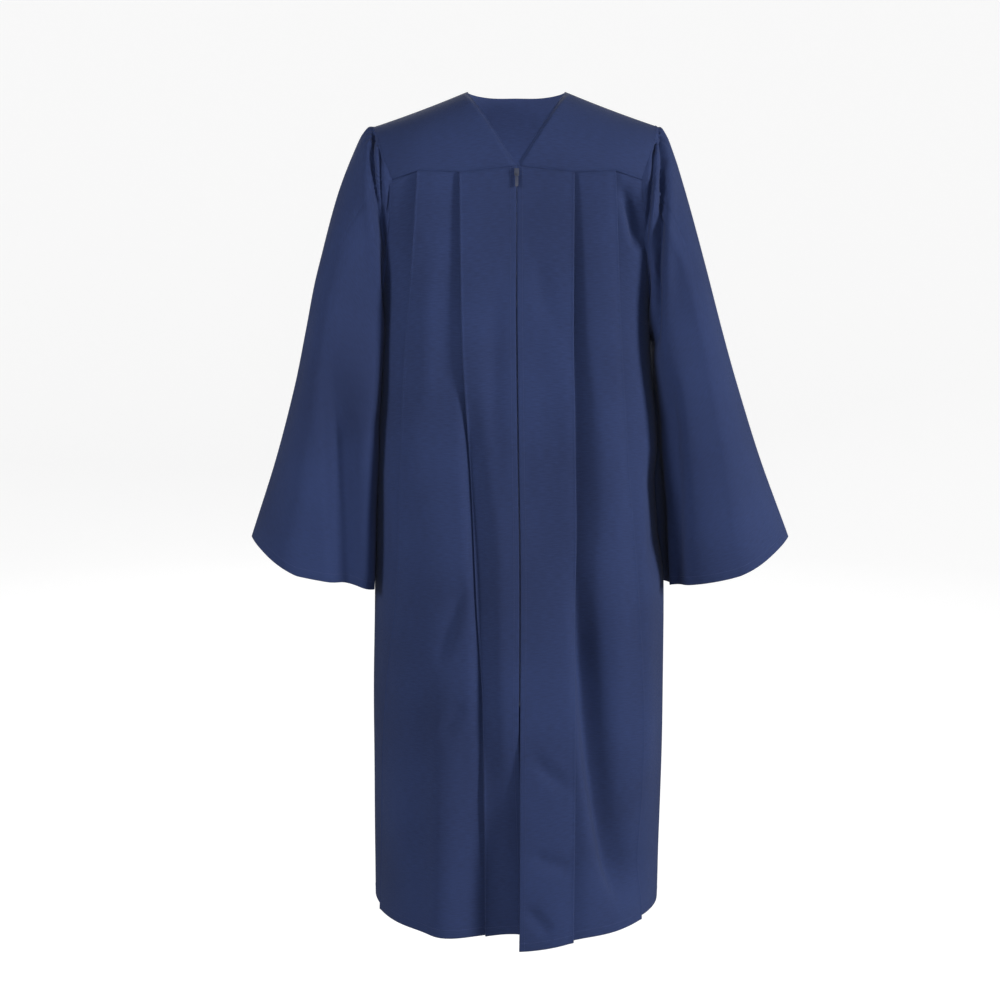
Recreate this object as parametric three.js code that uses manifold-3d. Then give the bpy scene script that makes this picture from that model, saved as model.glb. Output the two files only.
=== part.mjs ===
// A graduation gown, filled out as it is worn: a hollow form of thin cloth walls, open at the neck,
// the cuffs, the vent below the zip and the hem. Millimetres, +Z up, and the front faces -Y.
// The origin lies in the middle of the neck, level with the high points of the shoulders.
import * as THREE from "three";
import { mergeVertices } from "three/addons/utils/BufferGeometryUtils.js";
import Module from "manifold-3d";

const { lerp, smoothstep, clamp, degToRad } = THREE.MathUtils;

// Driving dimensions
const WALL = 1.4; // thickness of a cloth wall
const SEAM = 0.3; // gap between pieces at a seam
const LAYER = 2.6; // distance between the layers of a pleat
const UNDERLAY = 28; // how far a pleat's fold reaches back under itself
const NECK_HALF = 72.5; // half width of the neck between the high shoulder points
const NECK_BACK_DEPTH = 65; // how far the back neckline lies behind the shoulder line
const NECK_SQUARE = 2.7; // squareness of the back neckline
const NECK_RISE = 15; // rise of the shoulder surface towards the middle of the neck
const TIP = { x: 208, drop: 50 }; // shoulder tip: distance from the middle and drop below the neck
const SHOULDER_HOLLOW = 6; // extra slope of the shoulder line close to the neck
const FRONT_CORNER = { y: 80, z: -129 }; // where front yoke, front and sleeve meet
const BACK_CORNER = { y: 85, z: -150 }; // where back yoke, back and sleeve meet
const UNDERARM_Z = -330;
const HEM_SIDE_Z = -1231;
const HEM_FRONT_DROP = 11; // the hem hangs this much lower in front than at the sides
const VENT_RISE = 5; // the right front's hem rises this much where it passes under the left
const VENT_DROP = 10; // the left front's hem hangs this much lower at the vent
const VENT_EDGE = 4; // distance of the left front's edge from the middle at the hem
const VENT_LAP = 6; // how far the right front reaches under that edge
const VENT_SETBACK = 20; // how far the right front's edge falls back under the left at the hem
const VENT_LENGTH = 330; // length below the zip over which that lap grows
const VENT_REACH = { left: 110, right: 60 }; // how far from the edge each front's hem leaves its curve
const EDGE_HALF_GAP = 0.8; // half the gap between the two front edges along the zip
const ZIP = { top: -113, bottom: -887, tapeWidth: 11.4, tapeThick: 0.8, coilHalf: 2.3, coilThick: 1.6 };
const STOP_HEIGHT = 4; // the zip's bottom stop
const BACK_FULLNESS = 0.8; // power of the back yoke's curve: below 1 is fuller over the shoulder blades
const FOLD_FADE = 0.6; // share of its length over which a soft fold deepens
const SECTION_STEPS = 240; // points on a quarter of a body section
const NORMAL_STEP = 2; // distance to each side over which a section's normal is taken
const TURN_ANGLES = [60, 120, 180]; // points round the turned edge of a pleat, in degrees
const STRIP_STOPS = [0.35, 0.7, 1]; // points across the cloth between two pleats
const SIDE_STOPS = [0, 0.25, 0.5, 0.75, 1]; // points between the last pleat and the side

// Body sections: half width, depth to front and back, squareness of the rounded outline, and how far
// the skirt swings to the wearer's left
const BODY = [
  { z: -105, half: 231, front: 95, back: 100, square: 3.3, swing: 0 },
  { z: -200, half: 212, front: 108, back: 114, square: 3.0, swing: 0 },
  { z: -330, half: 200, front: 124, back: 121, square: 2.7, swing: 0 },
  { z: -500, half: 211, front: 143, back: 131, square: 2.4, swing: 2 },
  { z: -700, half: 220, front: 163, back: 151, square: 2.3, swing: 5 },
  { z: -950, half: 223, front: 183, back: 174, square: 2.25, swing: 4 },
  { z: -1250, half: 221, front: 200, back: 196, square: 2.2, swing: 1 },
];
// Levels of the panel rows at their outer edge: the first ones follow the armhole
const ARMHOLE_LEVELS = [0, 0.18, 0.38, 0.58, 0.75, 0.88, 0.96, 1]; // share of corner to underarm
const SKIRT_LEVELS = [0.12, 0.33, 0.616, 0.8, 1]; // share of underarm to hem, with one at the zip's end
// Height of the front yoke seam, which the outer pleat lifts a little
const FRONT_SEAM = [
  { x: 0, z: -109 },
  { x: 83, z: -118 },
  { x: 142, z: -116 },
  { x: 181, z: FRONT_CORNER.z },
];
// Distance of each pleat's fold edge from the middle, for the two fronts and the back
const PLEATS = [
  { z: -109, rightInner: 83, rightOuter: 142, leftInner: 83, leftOuter: 142, backInner: 62, backOuter: 124 },
  { z: -360, rightInner: 79, rightOuter: 158, leftInner: 82, leftOuter: 151, backInner: 66, backOuter: 137 },
  { z: -580, rightInner: 71, rightOuter: 170, leftInner: 81, leftOuter: 163, backInner: 70, backOuter: 150 },
  { z: -740, rightInner: 65, rightOuter: 183, leftInner: 81, leftOuter: 172, backInner: 73, backOuter: 158 },
  { z: -900, rightInner: 56, rightOuter: 200, leftInner: 82, leftOuter: 180, backInner: 76, backOuter: 164 },
  { z: -1250, rightInner: 51, rightOuter: 208, leftInner: 83, leftOuter: 188, backInner: 80, backOuter: 172 },
];
// Largest soft folds of the panels: a trough from (x, z) to (endX, endZ), as wide and deep as given
const PANEL_FOLDS = [
  { panel: "front_left", x: 96, z: -640, endX: 166, endZ: -1250, wide: 30, deep: 10 },
  { panel: "front_right", x: 128, z: -420, endX: 100, endZ: -1250, wide: 34, deep: 6 },
  { panel: "back_panel", x: 112, z: -480, endX: 122, endZ: -1250, wide: 26, deep: 10 },
  { panel: "back_panel", x: -104, z: -560, endX: -130, endZ: -1250, wide: 28, deep: 11 },
];
// Sleeve rings from armhole to cuff: reach of the outer edge on each side, inner edge by the body,
// depth to front and back, and how far the front of the ring is turned outwards
const SLEEVE = [
  [0, -50, 208, 208, 200, 0, -330, -80, 85, 0],
  [0.05, -52, 222, 218, 204, 6, -332, -83, 92, 4],
  [0.12, -80, 239, 232, 206, 24, -352, -90, 102, 10],
  [0.24, -143, 265, 254, 205, 48, -402, -96, 114, 20],
  [0.38, -246, 293, 281, 203, 68, -470, -100, 124, 30],
  [0.52, -336, 311, 305, 203, 80, -536, -101, 130, 34],
  [0.66, -426, 330, 331, 204, 88, -600, -101, 136, 34],
  [0.83, -545, 362, 369, 206, 95, -680, -101, 140, 28],
  [1, -666, 402, 415, 208, 101, -750, -101, 142, 22],
].map(([v, outZ, outRight, outLeft, inX, inY, inZ, front, back, turn]) => {
  return { v, outZ, outRight, outLeft, inX, inY, inZ, front, back, turn };
});
const SLEEVE_ROWS = [0, 0.04, 0.09, 0.16, 0.25, 0.35, 0.46, 0.57, 0.68, 0.79, 0.9, 1];
const SLEEVE_PINCH = 0.4; // how much the outer edge of the cuff is flattened towards a fold
const SLEEVE_CORNER = { right: 12, left: 5 }; // how square the ring is at its front, beside the body
const INNER_REACH = { right: 22, left: 12 }; // how far that corner comes in towards the body
const INNER_TURN = 0.4; // share of the turn that is left there
const BODY_CLEAR = 8; // gap between a sleeve and the body's side
const BODY_SOFTEN = 2.5; // how softly the sleeve bends round it
const CUFF_LIFT = 10; // rise of the cuff between its outer edge and its front
const ARMHOLE_FADE = 0.4; // share of the sleeve over which its rings turn from the armhole's shape to ovals
// Largest folds of a sleeve: troughs at an angle from the outer edge, positive to the front
const SLEEVE_FOLDS = [
  { angle: 62, from: 0.03, to: 0.42, wide: 13, deep: 9 },
  { angle: 112, from: 0.3, to: 1.3, wide: 22, deep: 10 },
  { angle: -70, from: 0.05, to: 0.5, wide: 15, deep: 8 },
  { angle: -120, from: 0.35, to: 1.3, wide: 22, deep: 13 },
];

const cloth = { color: 0x2c3758, roughness: 0.85, metalness: 0 };
const zipCloth = { color: 0x1c2540, roughness: 0.7, metalness: 0 };
const zipMetal = { color: 0x4a5570, roughness: 0.4, metalness: 0.6 };

const wasm = await Module();
wasm.setup();

const gown = new THREE.Group();

function addPiece(name, geometry, look, parent = gown) {
  geometry.computeVertexNormals();
  const mesh = new THREE.Mesh(geometry, new THREE.MeshStandardMaterial(look));
  mesh.name = name;
  parent.add(mesh);
}

// Smooth reading of one column of a table along another column
function read(table, by, column, at) {
  const last = table.length - 1;
  const rising = Math.sign(table[last][by] - table[0][by]);
  let row = 0;
  while (row < last - 1 && rising * at > rising * table[row + 1][by]) row += 1;
  const slope = (i) => {
    const before = table[Math.max(i - 1, 0)];
    const after = table[Math.min(i + 1, last)];
    return (after[column] - before[column]) / (after[by] - before[by]);
  };
  const span = table[row + 1][by] - table[row][by];
  const t = clamp((at - table[row][by]) / span, 0, 1);
  const blend = t * t * (3 - 2 * t);
  const bend = slope(row) * (1 - t) - slope(row + 1) * t;
  return lerp(table[row][column], table[row + 1][column], blend) + span * t * (1 - t) * bend;
}

// Straight reading of a table, with corners kept
function readStraight(table, by, column, at) {
  let row = 0;
  while (row < table.length - 2 && at > table[row + 1][by]) row += 1;
  const t = (at - table[row][by]) / (table[row + 1][by] - table[row][by]);
  return lerp(table[row][column], table[row + 1][column], t);
}

// A closed wall through a grid of points, thickened to both sides of the grid.
// Normals may be given for some points; the rest follow from the neighbouring points. A mirrored
// grid, whose columns run the other way round, is marked as turned.
function wall(grid, thick, { normals = [], ring = false, turned = false } = {}) {
  const rows = grid.length;
  const columns = grid[0].length;
  const column = (j) => (ring ? (j + columns) % columns : clamp(j, 0, columns - 1));
  const positions = [];
  const normalAt = (i, j) => {
    if (normals[i]?.[j]) return normals[i][j];
    const across = grid[i][column(j + 1)].clone().sub(grid[i][column(j - 1)]);
    const down = grid[Math.min(i + 1, rows - 1)][j].clone().sub(grid[Math.max(i - 1, 0)][j]);
    return across.cross(down).multiplyScalar(turned ? -1 : 1).normalize();
  };
  for (const side of [1, -1]) {
    for (let i = 0; i < rows; i += 1) {
      for (let j = 0; j < columns; j += 1) {
        const point = grid[i][j].clone().addScaledVector(normalAt(i, j), (side * thick) / 2);
        positions.push(point.x, point.y, point.z);
      }
    }
  }
  const outer = (i, j) => i * columns + column(j);
  const inner = (i, j) => rows * columns + outer(i, j);
  const index = [];
  const quad = (a, b, c, d) => index.push(...(turned ? [a, d, b, b, d, c] : [a, b, d, b, c, d]));
  const lastRow = rows - 1;
  const lastColumn = ring ? columns : columns - 1;
  for (let j = 0; j < lastColumn; j += 1) {
    for (let i = 0; i < lastRow; i += 1) {
      quad(outer(i, j), outer(i, j + 1), outer(i + 1, j + 1), outer(i + 1, j));
      quad(inner(i, j + 1), inner(i, j), inner(i + 1, j), inner(i + 1, j + 1));
    }
    quad(outer(0, j + 1), outer(0, j), inner(0, j), inner(0, j + 1));
    quad(outer(lastRow, j), outer(lastRow, j + 1), inner(lastRow, j + 1), inner(lastRow, j));
  }
  for (let i = 0; i < lastRow && !ring; i += 1) {
    quad(outer(i, 0), outer(i + 1, 0), inner(i + 1, 0), inner(i, 0));
    quad(outer(i + 1, lastColumn), outer(i, lastColumn), inner(i, lastColumn), inner(i + 1, lastColumn));
  }
  const geometry = new THREE.BufferGeometry();
  geometry.setAttribute("position", new THREE.Float32BufferAttribute(positions, 3));
  geometry.setIndex(index);
  return geometry;
}

// One quarter of the body's outline at a level, from the middle to the side; facing is -1 or 1
function section(z, facing) {
  const half = read(BODY, "z", "half", z);
  const depth = read(BODY, "z", facing < 0 ? "front" : "back", z);
  const power = 2 / read(BODY, "z", "square", z);
  const points = [];
  for (let i = 0; i <= SECTION_STEPS; i += 1) {
    const angle = ((i / SECTION_STEPS) * Math.PI) / 2;
    const x = half * Math.sin(angle) ** power;
    const y = i === SECTION_STEPS ? 0 : facing * depth * Math.cos(angle) ** power;
    const before = points.at(-1);
    const length = before ? before.length + Math.hypot(x - before.x, y - before.y) : 0;
    points.push({ x, y, length });
  }
  return points;
}

// Reads a section: the value of one column where another one passes a given amount
function onSection(points, by, column, at) {
  const rising = Math.sign(points.at(-1)[by] - points[0][by]);
  let k = points.findIndex((point) => rising * point[by] >= rising * at);
  k = clamp(k === -1 ? points.length - 1 : k, 1, points.length - 1);
  const t = (at - points[k - 1][by]) / (points[k][by] - points[k - 1][by]);
  return lerp(points[k - 1][column], points[k][column], t);
}

// Point and outward normal at a length along a section; a negative length lies across the middle
function bodyPoint(length, z, facing) {
  const points = section(z, facing);
  const reach = Math.abs(length);
  const side = Math.sign(length) || 1;
  const at = (l) => ({ x: onSection(points, "length", "x", l), y: onSection(points, "length", "y", l) });
  const end = points.at(-1).length;
  const before = at(clamp(reach - NORMAL_STEP, 0, end));
  const after = at(clamp(reach + NORMAL_STEP, 0, end));
  const here = at(reach);
  const normal = new THREE.Vector3(after.y - before.y, before.x - after.x, 0);
  normal.multiplyScalar(-facing).setX(normal.x * side).normalize();
  if (end - reach < NORMAL_STEP / 2) normal.set(side, 0, 0);
  return { x: here.x * side, y: here.y, normal };
}

// A panel

// Where the cloth behind a pleat ends, just short of the turn of its underlay
function underlayStart(edge) {
  return edge - UNDERLAY - LAYER;
}

// The line of cloth across one half of a panel, as lengths along the section and offsets from it.
// Each fold rises to the front layer, turns back under itself and turns again towards the side.
function pleatedLine(start, end, folds) {
  const radius = LAYER / 2;
  const line = [{ length: start, offset: 0, share: 0 }];
  const strip = (stops, offset) => {
    const from = line.at(-1);
    const reach = stops.at(-1) - from.length;
    for (const length of stops) {
      const share = (length - from.length) / reach;
      line.push({ length, offset: lerp(from.offset, offset, share), share });
    }
  };
  const turn = (length, offset, side) => {
    for (const degrees of TURN_ANGLES) {
      const angle = degToRad(degrees);
      line.push({
        length: length + side * radius * Math.sin(angle),
        offset: offset + radius * Math.cos(angle),
        share: 1,
      });
    }
  };
  let covered = null;
  for (const edge of folds) {
    const rise = edge - radius;
    const under = underlayStart(edge);
    const stops = covered ? STRIP_STOPS.map((share) => lerp(covered, rise, share)) : [under, rise];
    strip([covered ?? lerp(start, under, 0.5), ...stops], LAYER);
    turn(rise, radius, 1);
    line.push({ length: edge - UNDERLAY + radius, offset: 0, share: 1 });
    turn(edge - UNDERLAY + radius, -radius, -1);
    covered = edge;
  }
  strip(SIDE_STOPS.map((share) => lerp(covered, end, share)), 0);
  return line;
}

function foldDepth(name, x, z) {
  let depth = 0;
  for (const fold of PANEL_FOLDS.filter((row) => row.panel === name)) {
    const along = clamp((fold.z - z) / (fold.z - fold.endZ), 0, 1);
    const across = (x - lerp(fold.x, fold.endX, along)) / fold.wide;
    depth += fold.deep * smoothstep(along, 0, FOLD_FADE) * Math.exp(-across * across);
  }
  return depth;
}

function armholeLevels(corner) {
  const levels = ARMHOLE_LEVELS.map((share) => lerp(corner.z, UNDERARM_Z, share));
  return [...levels, ...SKIRT_LEVELS.map((share) => lerp(UNDERARM_Z, HEM_SIDE_Z, share))];
}

// Depth of the armhole's edge at a level, rounding to the middle at the underarm
function armholeY(z, corner) {
  const share = clamp((corner.z - z) / (corner.z - UNDERARM_Z), 0, 1);
  return corner.y * Math.sqrt(1 - share * share);
}

function frontSeamZ(x) {
  return readStraight(FRONT_SEAM, "x", "z", x);
}

// The left front laps over the right one below the zip
function ventShare(z) {
  return smoothstep(ZIP.bottom - z, 0, VENT_LENGTH);
}

function frontHemZ(x, wearerLeft) {
  const side = (x / BODY.at(-1).half) ** 2;
  const level = HEM_SIDE_Z - HEM_FRONT_DROP * (1 - side);
  const reach = 1 - smoothstep(x, 0, wearerLeft ? VENT_REACH.left : VENT_REACH.right);
  return level + (wearerLeft ? -VENT_DROP : VENT_RISE) * reach;
}

// Half a panel as rows of points and normals, from the middle to the armhole or side seam
function halfPanel(name, side, facing, corner, startAt, foldColumns, seamZ, hemZ) {
  const grid = [];
  const normals = [];
  for (const level of armholeLevels(corner)) {
    const share = (level - corner.z) / (HEM_SIDE_Z - corner.z);
    const outline = section(level, facing);
    const armhole = onSection(outline, "y", "length", facing * armholeY(level, corner));
    const end = level > UNDERARM_Z ? armhole : outline.at(-1).length - SEAM / 2;
    const folds = foldColumns.map((column) => {
      return onSection(outline, "x", "length", read(PLEATS, "z", column, level));
    });
    const { start, offset } = startAt(level);
    const points = [];
    const outward = [];
    for (const stop of pleatedLine(start, end, folds)) {
      const x = onSection(outline, "length", "x", Math.max(stop.length, 0));
      const z = lerp(seamZ(x) - SEAM, hemZ(x), share);
      const base = bodyPoint(stop.length, z, facing);
      const first = 1 - smoothstep(stop.length, 0, underlayStart(folds[0]));
      const out = stop.offset + offset * first - foldDepth(name, side * base.x, z);
      const point = new THREE.Vector3(base.x, base.y, z).addScaledVector(base.normal, out);
      points.push(point.setX(side * point.x + read(BODY, "z", "swing", z)));
      outward.push(base.normal.setX(side * base.normal.x));
    }
    grid.push(points);
    normals.push(outward);
  }
  return { grid, normals };
}

// Normals of a pleated row, level with the row and square to its line of cloth
function rowNormals(row, endNormals, turned) {
  return row.map((point, j) => {
    if (endNormals[j]) return endNormals[j];
    const before = row[Math.max(j - 1, 0)];
    const after = row[Math.min(j + 1, row.length - 1)];
    const normal = new THREE.Vector3(before.y - after.y, after.x - before.x, 0).normalize();
    return turned ? normal.negate() : normal;
  });
}

function front(wearerLeft) {
  const side = wearerLeft ? 1 : -1;
  const name = wearerLeft ? "front_left" : "front_right";
  const startAt = (level) => ({
    start: lerp(EDGE_HALF_GAP, wearerLeft ? VENT_EDGE : -VENT_EDGE - VENT_LAP, ventShare(level)),
    offset: ventShare(level) * (wearerLeft ? LAYER : -VENT_SETBACK),
  });
  const folds = wearerLeft ? ["leftInner", "leftOuter"] : ["rightInner", "rightOuter"];
  const hemZ = (x) => frontHemZ(x, wearerLeft);
  return halfPanel(name, side, -1, FRONT_CORNER, startAt, folds, frontSeamZ, hemZ);
}

function back() {
  const startAt = () => ({ start: 0, offset: 0 });
  const folds = ["backInner", "backOuter"];
  const half = (side) => {
    const level = [() => BACK_CORNER.z, () => HEM_SIDE_Z];
    return halfPanel("back_panel", side, 1, BACK_CORNER, startAt, folds, ...level);
  };
  return [half(-1), half(1)];
}

// The wall of a panel: normals are square to the line of cloth, and given at the seams' ends
function panelGeometry(grid, edgeNormals, turned) {
  const normals = grid.map((row, i) => {
    const ends = [];
    for (const [j, normal] of edgeNormals(i)) ends[j] = normal;
    return rowNormals(row, ends, turned);
  });
  return wall(grid, WALL, { normals, turned });
}

// A yoke

// Height of the shoulder surface along the shoulder line, carried on smoothly inside the neck
function shoulderZ(x) {
  const share = (Math.abs(x) - NECK_HALF) / (TIP.x - NECK_HALF);
  if (share < 0) return NECK_RISE * (1 - (x / NECK_HALF) ** 2);
  return -share * (TIP.drop + SHOULDER_HOLLOW * (1 - share));
}

function yokeSeamZ(x, facing) {
  return facing < 0 ? frontSeamZ(Math.abs(x)) : BACK_CORNER.z;
}

// A point of the yoke: turn runs from 0 on the shoulder line to 90 degrees at the yoke seam
function yokePoint(x, turn, facing) {
  const power = facing < 0 ? 1 : BACK_FULLNESS;
  const seam = yokeSeamZ(x, facing);
  const depth = onSection(section(seam, facing), "x", "y", Math.abs(x));
  const ridge = shoulderZ(x);
  const fall = 1 - Math.max(Math.cos(turn), 0) ** power;
  return new THREE.Vector3(x, depth * Math.sin(turn) ** power, lerp(ridge, seam, fall));
}

function cornerX(facing) {
  const corner = facing < 0 ? FRONT_CORNER : BACK_CORNER;
  return onSection(section(corner.z, facing), "y", "x", facing * corner.y);
}

// Normals where a yoke meets its neighbours: level at the seam, square to the shoulder line at the top
function yokeSeamNormal(point, facing) {
  const outline = section(point.z, facing);
  const length = onSection(outline, "x", "length", Math.abs(point.x));
  const { normal } = bodyPoint(length, point.z, facing);
  return normal.setX(Math.sign(point.x) * normal.x);
}

function shoulderNormal(x) {
  const slope = (shoulderZ(x + NORMAL_STEP / 4) - shoulderZ(x - NORMAL_STEP / 4)) / (NORMAL_STEP / 2);
  return new THREE.Vector3(-slope, 0, 1).normalize();
}

const YOKE_TURNS = [0, 18, 36, 54, 72, 90].map(degToRad);

// Moves the first row off the shoulder line by half a seam
function openShoulderSeam(grid, facing) {
  for (const point of grid[0]) point.y = Math.abs(point.y) < SEAM ? (facing * SEAM) / 2 : point.y;
}

function frontYoke(wearerLeft) {
  const side = wearerLeft ? 1 : -1;
  const corner = cornerX(-1);
  const [, inner, outer] = FRONT_SEAM.map(({ x }) => x / corner);
  const shares = [0, inner / 2, inner, (inner + outer) / 2, outer, (outer + 1) / 2, 1];
  const grid = YOKE_TURNS.map((turn) => {
    const fall = 1 - Math.cos(turn);
    const neck = Math.max(NECK_HALF * (1 - fall), EDGE_HALF_GAP);
    const edge = lerp(TIP.x, corner, fall);
    return shares.map((share) => yokePoint(side * lerp(neck, edge, share), turn, -1));
  });
  openShoulderSeam(grid, -1);
  const normals = grid.map(() => []);
  normals[0] = grid[0].map((point) => shoulderNormal(point.x));
  normals[grid.length - 1] = grid.at(-1).map((point) => yokeSeamNormal(point, -1));
  return { grid, normals, turned: wearerLeft };
}

function backYoke() {
  const corner = cornerX(1);
  const neckShare = NECK_HALF / TIP.x;
  const inside = STRIP_STOPS.map((share) => share * neckShare);
  const shares = [0, ...inside, ...STRIP_STOPS.map((share) => lerp(neckShare, 1, share))];
  const across = [...shares.slice(1).reverse().map((share) => -share), ...shares];
  const grid = YOKE_TURNS.map((full) => {
    return across.map((share) => {
      const open = Math.max(1 - Math.abs(share / neckShare) ** NECK_SQUARE, 0) ** (1 / NECK_SQUARE);
      const depth = onSection(section(BACK_CORNER.z, 1), "x", "y", Math.abs(share) * TIP.x);
      const first = Math.asin(((NECK_BACK_DEPTH * open) / depth) ** (1 / BACK_FULLNESS));
      const turn = lerp(first, Math.PI / 2, full / (Math.PI / 2));
      const fall = 1 - Math.max(Math.cos(turn), 0) ** BACK_FULLNESS;
      return yokePoint(share * lerp(TIP.x, corner, fall), turn, 1);
    });
  });
  openShoulderSeam(grid, 1);
  const normals = grid.map(() => []);
  grid[0].forEach((point, j) => {
    if (Math.abs(across[j]) >= neckShare - 1e-6) normals[0][j] = shoulderNormal(point.x);
  });
  normals[grid.length - 1] = grid.at(-1).map((point) => {
    return Math.abs(point.x) < 1e-6 ? new THREE.Vector3(0, 1, 0) : yokeSeamNormal(point, 1);
  });
  return { grid, normals };
}

// A sleeve

// Edge of the armhole as a closed loop from the shoulder tip over the front and back round again.
// Each stop holds the seam's point, the outward normal there and the direction away from the panels.
function armholeLoop(side, pieces) {
  const edge = ({ grid, normals }, i, last) => {
    const column = last ? grid[i].length - 1 : 0;
    const point = grid[i][column];
    const inward = grid[i][last ? column - 1 : 1];
    const normal = normals[i]?.[column] ?? null;
    return { point, normal, away: point.clone().sub(inward) };
  };
  const lastAt = (piece) => Math.sign(piece.grid[1].at(-1).x) === side;
  const half = (yoke, panel) => {
    const stops = [];
    for (let i = 1; i < YOKE_TURNS.length; i += 1) stops.push(edge(yoke, i, lastAt(yoke)));
    for (let i = 1; i < ARMHOLE_LEVELS.length - 1; i += 1) stops.push(edge(panel, i, true));
    return stops;
  };
  const tip = new THREE.Vector3(side * TIP.x, 0, shoulderZ(TIP.x));
  const underarm = new THREE.Vector3(side * read(BODY, "z", "half", UNDERARM_Z), 0, UNDERARM_Z);
  const top = { point: tip, normal: shoulderNormal(side * TIP.x), away: new THREE.Vector3(side, 0, 0) };
  const outward = new THREE.Vector3(side, 0, 0);
  const bottom = { point: underarm, normal: outward, away: new THREE.Vector3(0, 0, 1) };
  const frontStops = half(pieces.frontYoke, pieces.front);
  const backStops = half(pieces.backYoke, pieces.back).reverse();
  const loop = [top, ...frontStops, bottom, ...backStops];
  const middle = (tip.z + underarm.z) / 2;
  loop.forEach((stop, k) => {
    const angle = Math.acos(clamp((stop.point.z - middle) / (tip.z - middle), -1, 1));
    stop.angle = k <= frontStops.length + 1 ? angle : -angle;
  });
  return loop;
}

// An oval ring of the sleeve at share v of its length. Turning the front outwards widens the ring, so
// its half width is worked out from the reach that the turned ring has.
function sleeveOval(v, angle, wearerLeft) {
  const value = (column) => read(SLEEVE, "v", column, v);
  const inner = new THREE.Vector3(value("inX"), value("inY"), value("inZ"));
  const span = value(wearerLeft ? "outLeft" : "outRight") - inner.x;
  const half = (span * span - value("turn") ** 2) / (2 * span);
  const outer = new THREE.Vector3(inner.x + 2 * half, 0, value("outZ"));
  const [sine, cosine] = [Math.sin(angle), Math.cos(angle)];
  const outwards = v * Math.max(cosine, 0) ** 2;
  const inwards = Math.max(-cosine, 0);
  const pinched = 1 - SLEEVE_PINCH * outwards;
  const centre = outer.clone().add(inner).multiplyScalar(0.5);
  const point = centre.clone().addScaledVector(outer.sub(centre), cosine);
  let turn = value("turn");
  if (angle > 0) {
    const hand = wearerLeft ? "left" : "right";
    const corner = inwards ** SLEEVE_CORNER[hand];
    const bulge = cosine > 0 ? sine : Math.sqrt(Math.max(1 - corner, 0));
    point.y = value("front") * bulge * pinched + inner.y * corner;
    turn *= lerp(1, INNER_TURN, smoothstep(inwards, 0, 0.8));
    point.x -= INNER_REACH[hand] * smoothstep(v, 0.1, 0.3) * inwards ** 2 * Math.sqrt(Math.max(sine, 0));
  } else {
    point.y += (centre.y - value("back")) * sine * pinched;
  }
  point.x += turn * sine;
  point.z += 2 * CUFF_LIFT * outwards * Math.abs(sine);
  return point;
}

// Keeps a point of a sleeve outside the side of the body, softly
function clearOfBody(point, v, side) {
  const at = (column) => read(BODY, "z", column, point.z);
  const square = at("square");
  const share = clamp(Math.abs(point.y) / at(point.y < 0 ? "front" : "back"), 0, 1);
  const beside = at("half") * (1 - share ** square) ** (1 / square) + side * at("swing");
  const limit = beside + lerp(-30, BODY_CLEAR, smoothstep(v, 0.05, 0.2));
  const beyond = (side * point.x - limit) / BODY_SOFTEN;
  const soft = Math.max(beyond, 0) + Math.log1p(Math.exp(-Math.abs(beyond)));
  return point.setX(side * (limit + BODY_SOFTEN * soft));
}

function sleeveFold(angle, v) {
  let depth = 0;
  for (const fold of SLEEVE_FOLDS) {
    const across = (THREE.MathUtils.radToDeg(angle) - fold.angle) / fold.wide;
    const along = clamp((v - fold.from) / (fold.to - fold.from), 0, 1);
    depth += fold.deep * Math.sin(Math.PI * along) * Math.exp(-across * across);
  }
  return depth;
}

function sleeve(wearerLeft, pieces) {
  const side = wearerLeft ? 1 : -1;
  const loop = armholeLoop(side, pieces);
  if (!wearerLeft) loop.reverse();
  const start = loop.map((stop) => {
    const oval = sleeveOval(0, stop.angle, wearerLeft);
    return stop.point.clone().sub(oval.setX(side * oval.x));
  });
  const grid = SLEEVE_ROWS.map((v) => {
    return loop.map((stop, k) => {
      const point = sleeveOval(v, stop.angle, wearerLeft);
      const centre = sleeveOval(v, 0, wearerLeft).lerp(sleeveOval(v, Math.PI, wearerLeft), 0.5);
      const inward = centre.sub(point).setZ(0).normalize();
      point.addScaledVector(inward, sleeveFold(stop.angle, v));
      point.setX(side * point.x);
      point.addScaledVector(start[k], 1 - smoothstep(v, 0, ARMHOLE_FADE));
      return clearOfBody(point, v, side);
    });
  });
  const count = loop.length;
  const rim = loop.map((stop, k) => {
    const along = loop[(k + 1) % count].point.clone().sub(loop[(k + count - 1) % count].point).normalize();
    const away = stop.away.clone().addScaledVector(along, -stop.away.dot(along)).normalize();
    const down = grid[1][k].clone().sub(grid[0][k]);
    const own = along.clone().cross(down).normalize();
    const normal = own.add(stop.normal ?? own).normalize();
    const clear = 2 * SEAM + (WALL / 2) * Math.max(-normal.dot(away), 0);
    grid[0][k].addScaledVector(away, clear);
    return normal;
  });
  return wall(grid, WALL, { normals: [rim], ring: true });
}

// The zip

// Point of a front's first strip of cloth at a distance from the zip's middle and a height
function edgePoint(piece, reach, z) {
  const beyond = Math.abs(reach) - EDGE_HALF_GAP;
  const rows = piece.grid.map(([edge, next]) => edge.clone().lerp(next, beyond / edge.distanceTo(next)));
  let row = 0;
  while (row < rows.length - 2 && rows[row + 1].z > z) row += 1;
  return rows[row].clone().lerp(rows[row + 1], (z - rows[row].z) / (rows[row + 1].z - rows[row].z));
}

// Heights for the strips of the zip: its ends, and the fronts' own rows between them
function zipHeights(top, bottom) {
  const rows = fronts.left.grid.map(([edge]) => edge.z);
  return [top, ...rows.filter((z) => z < top - WALL && z > bottom + WALL), bottom];
}

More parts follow.
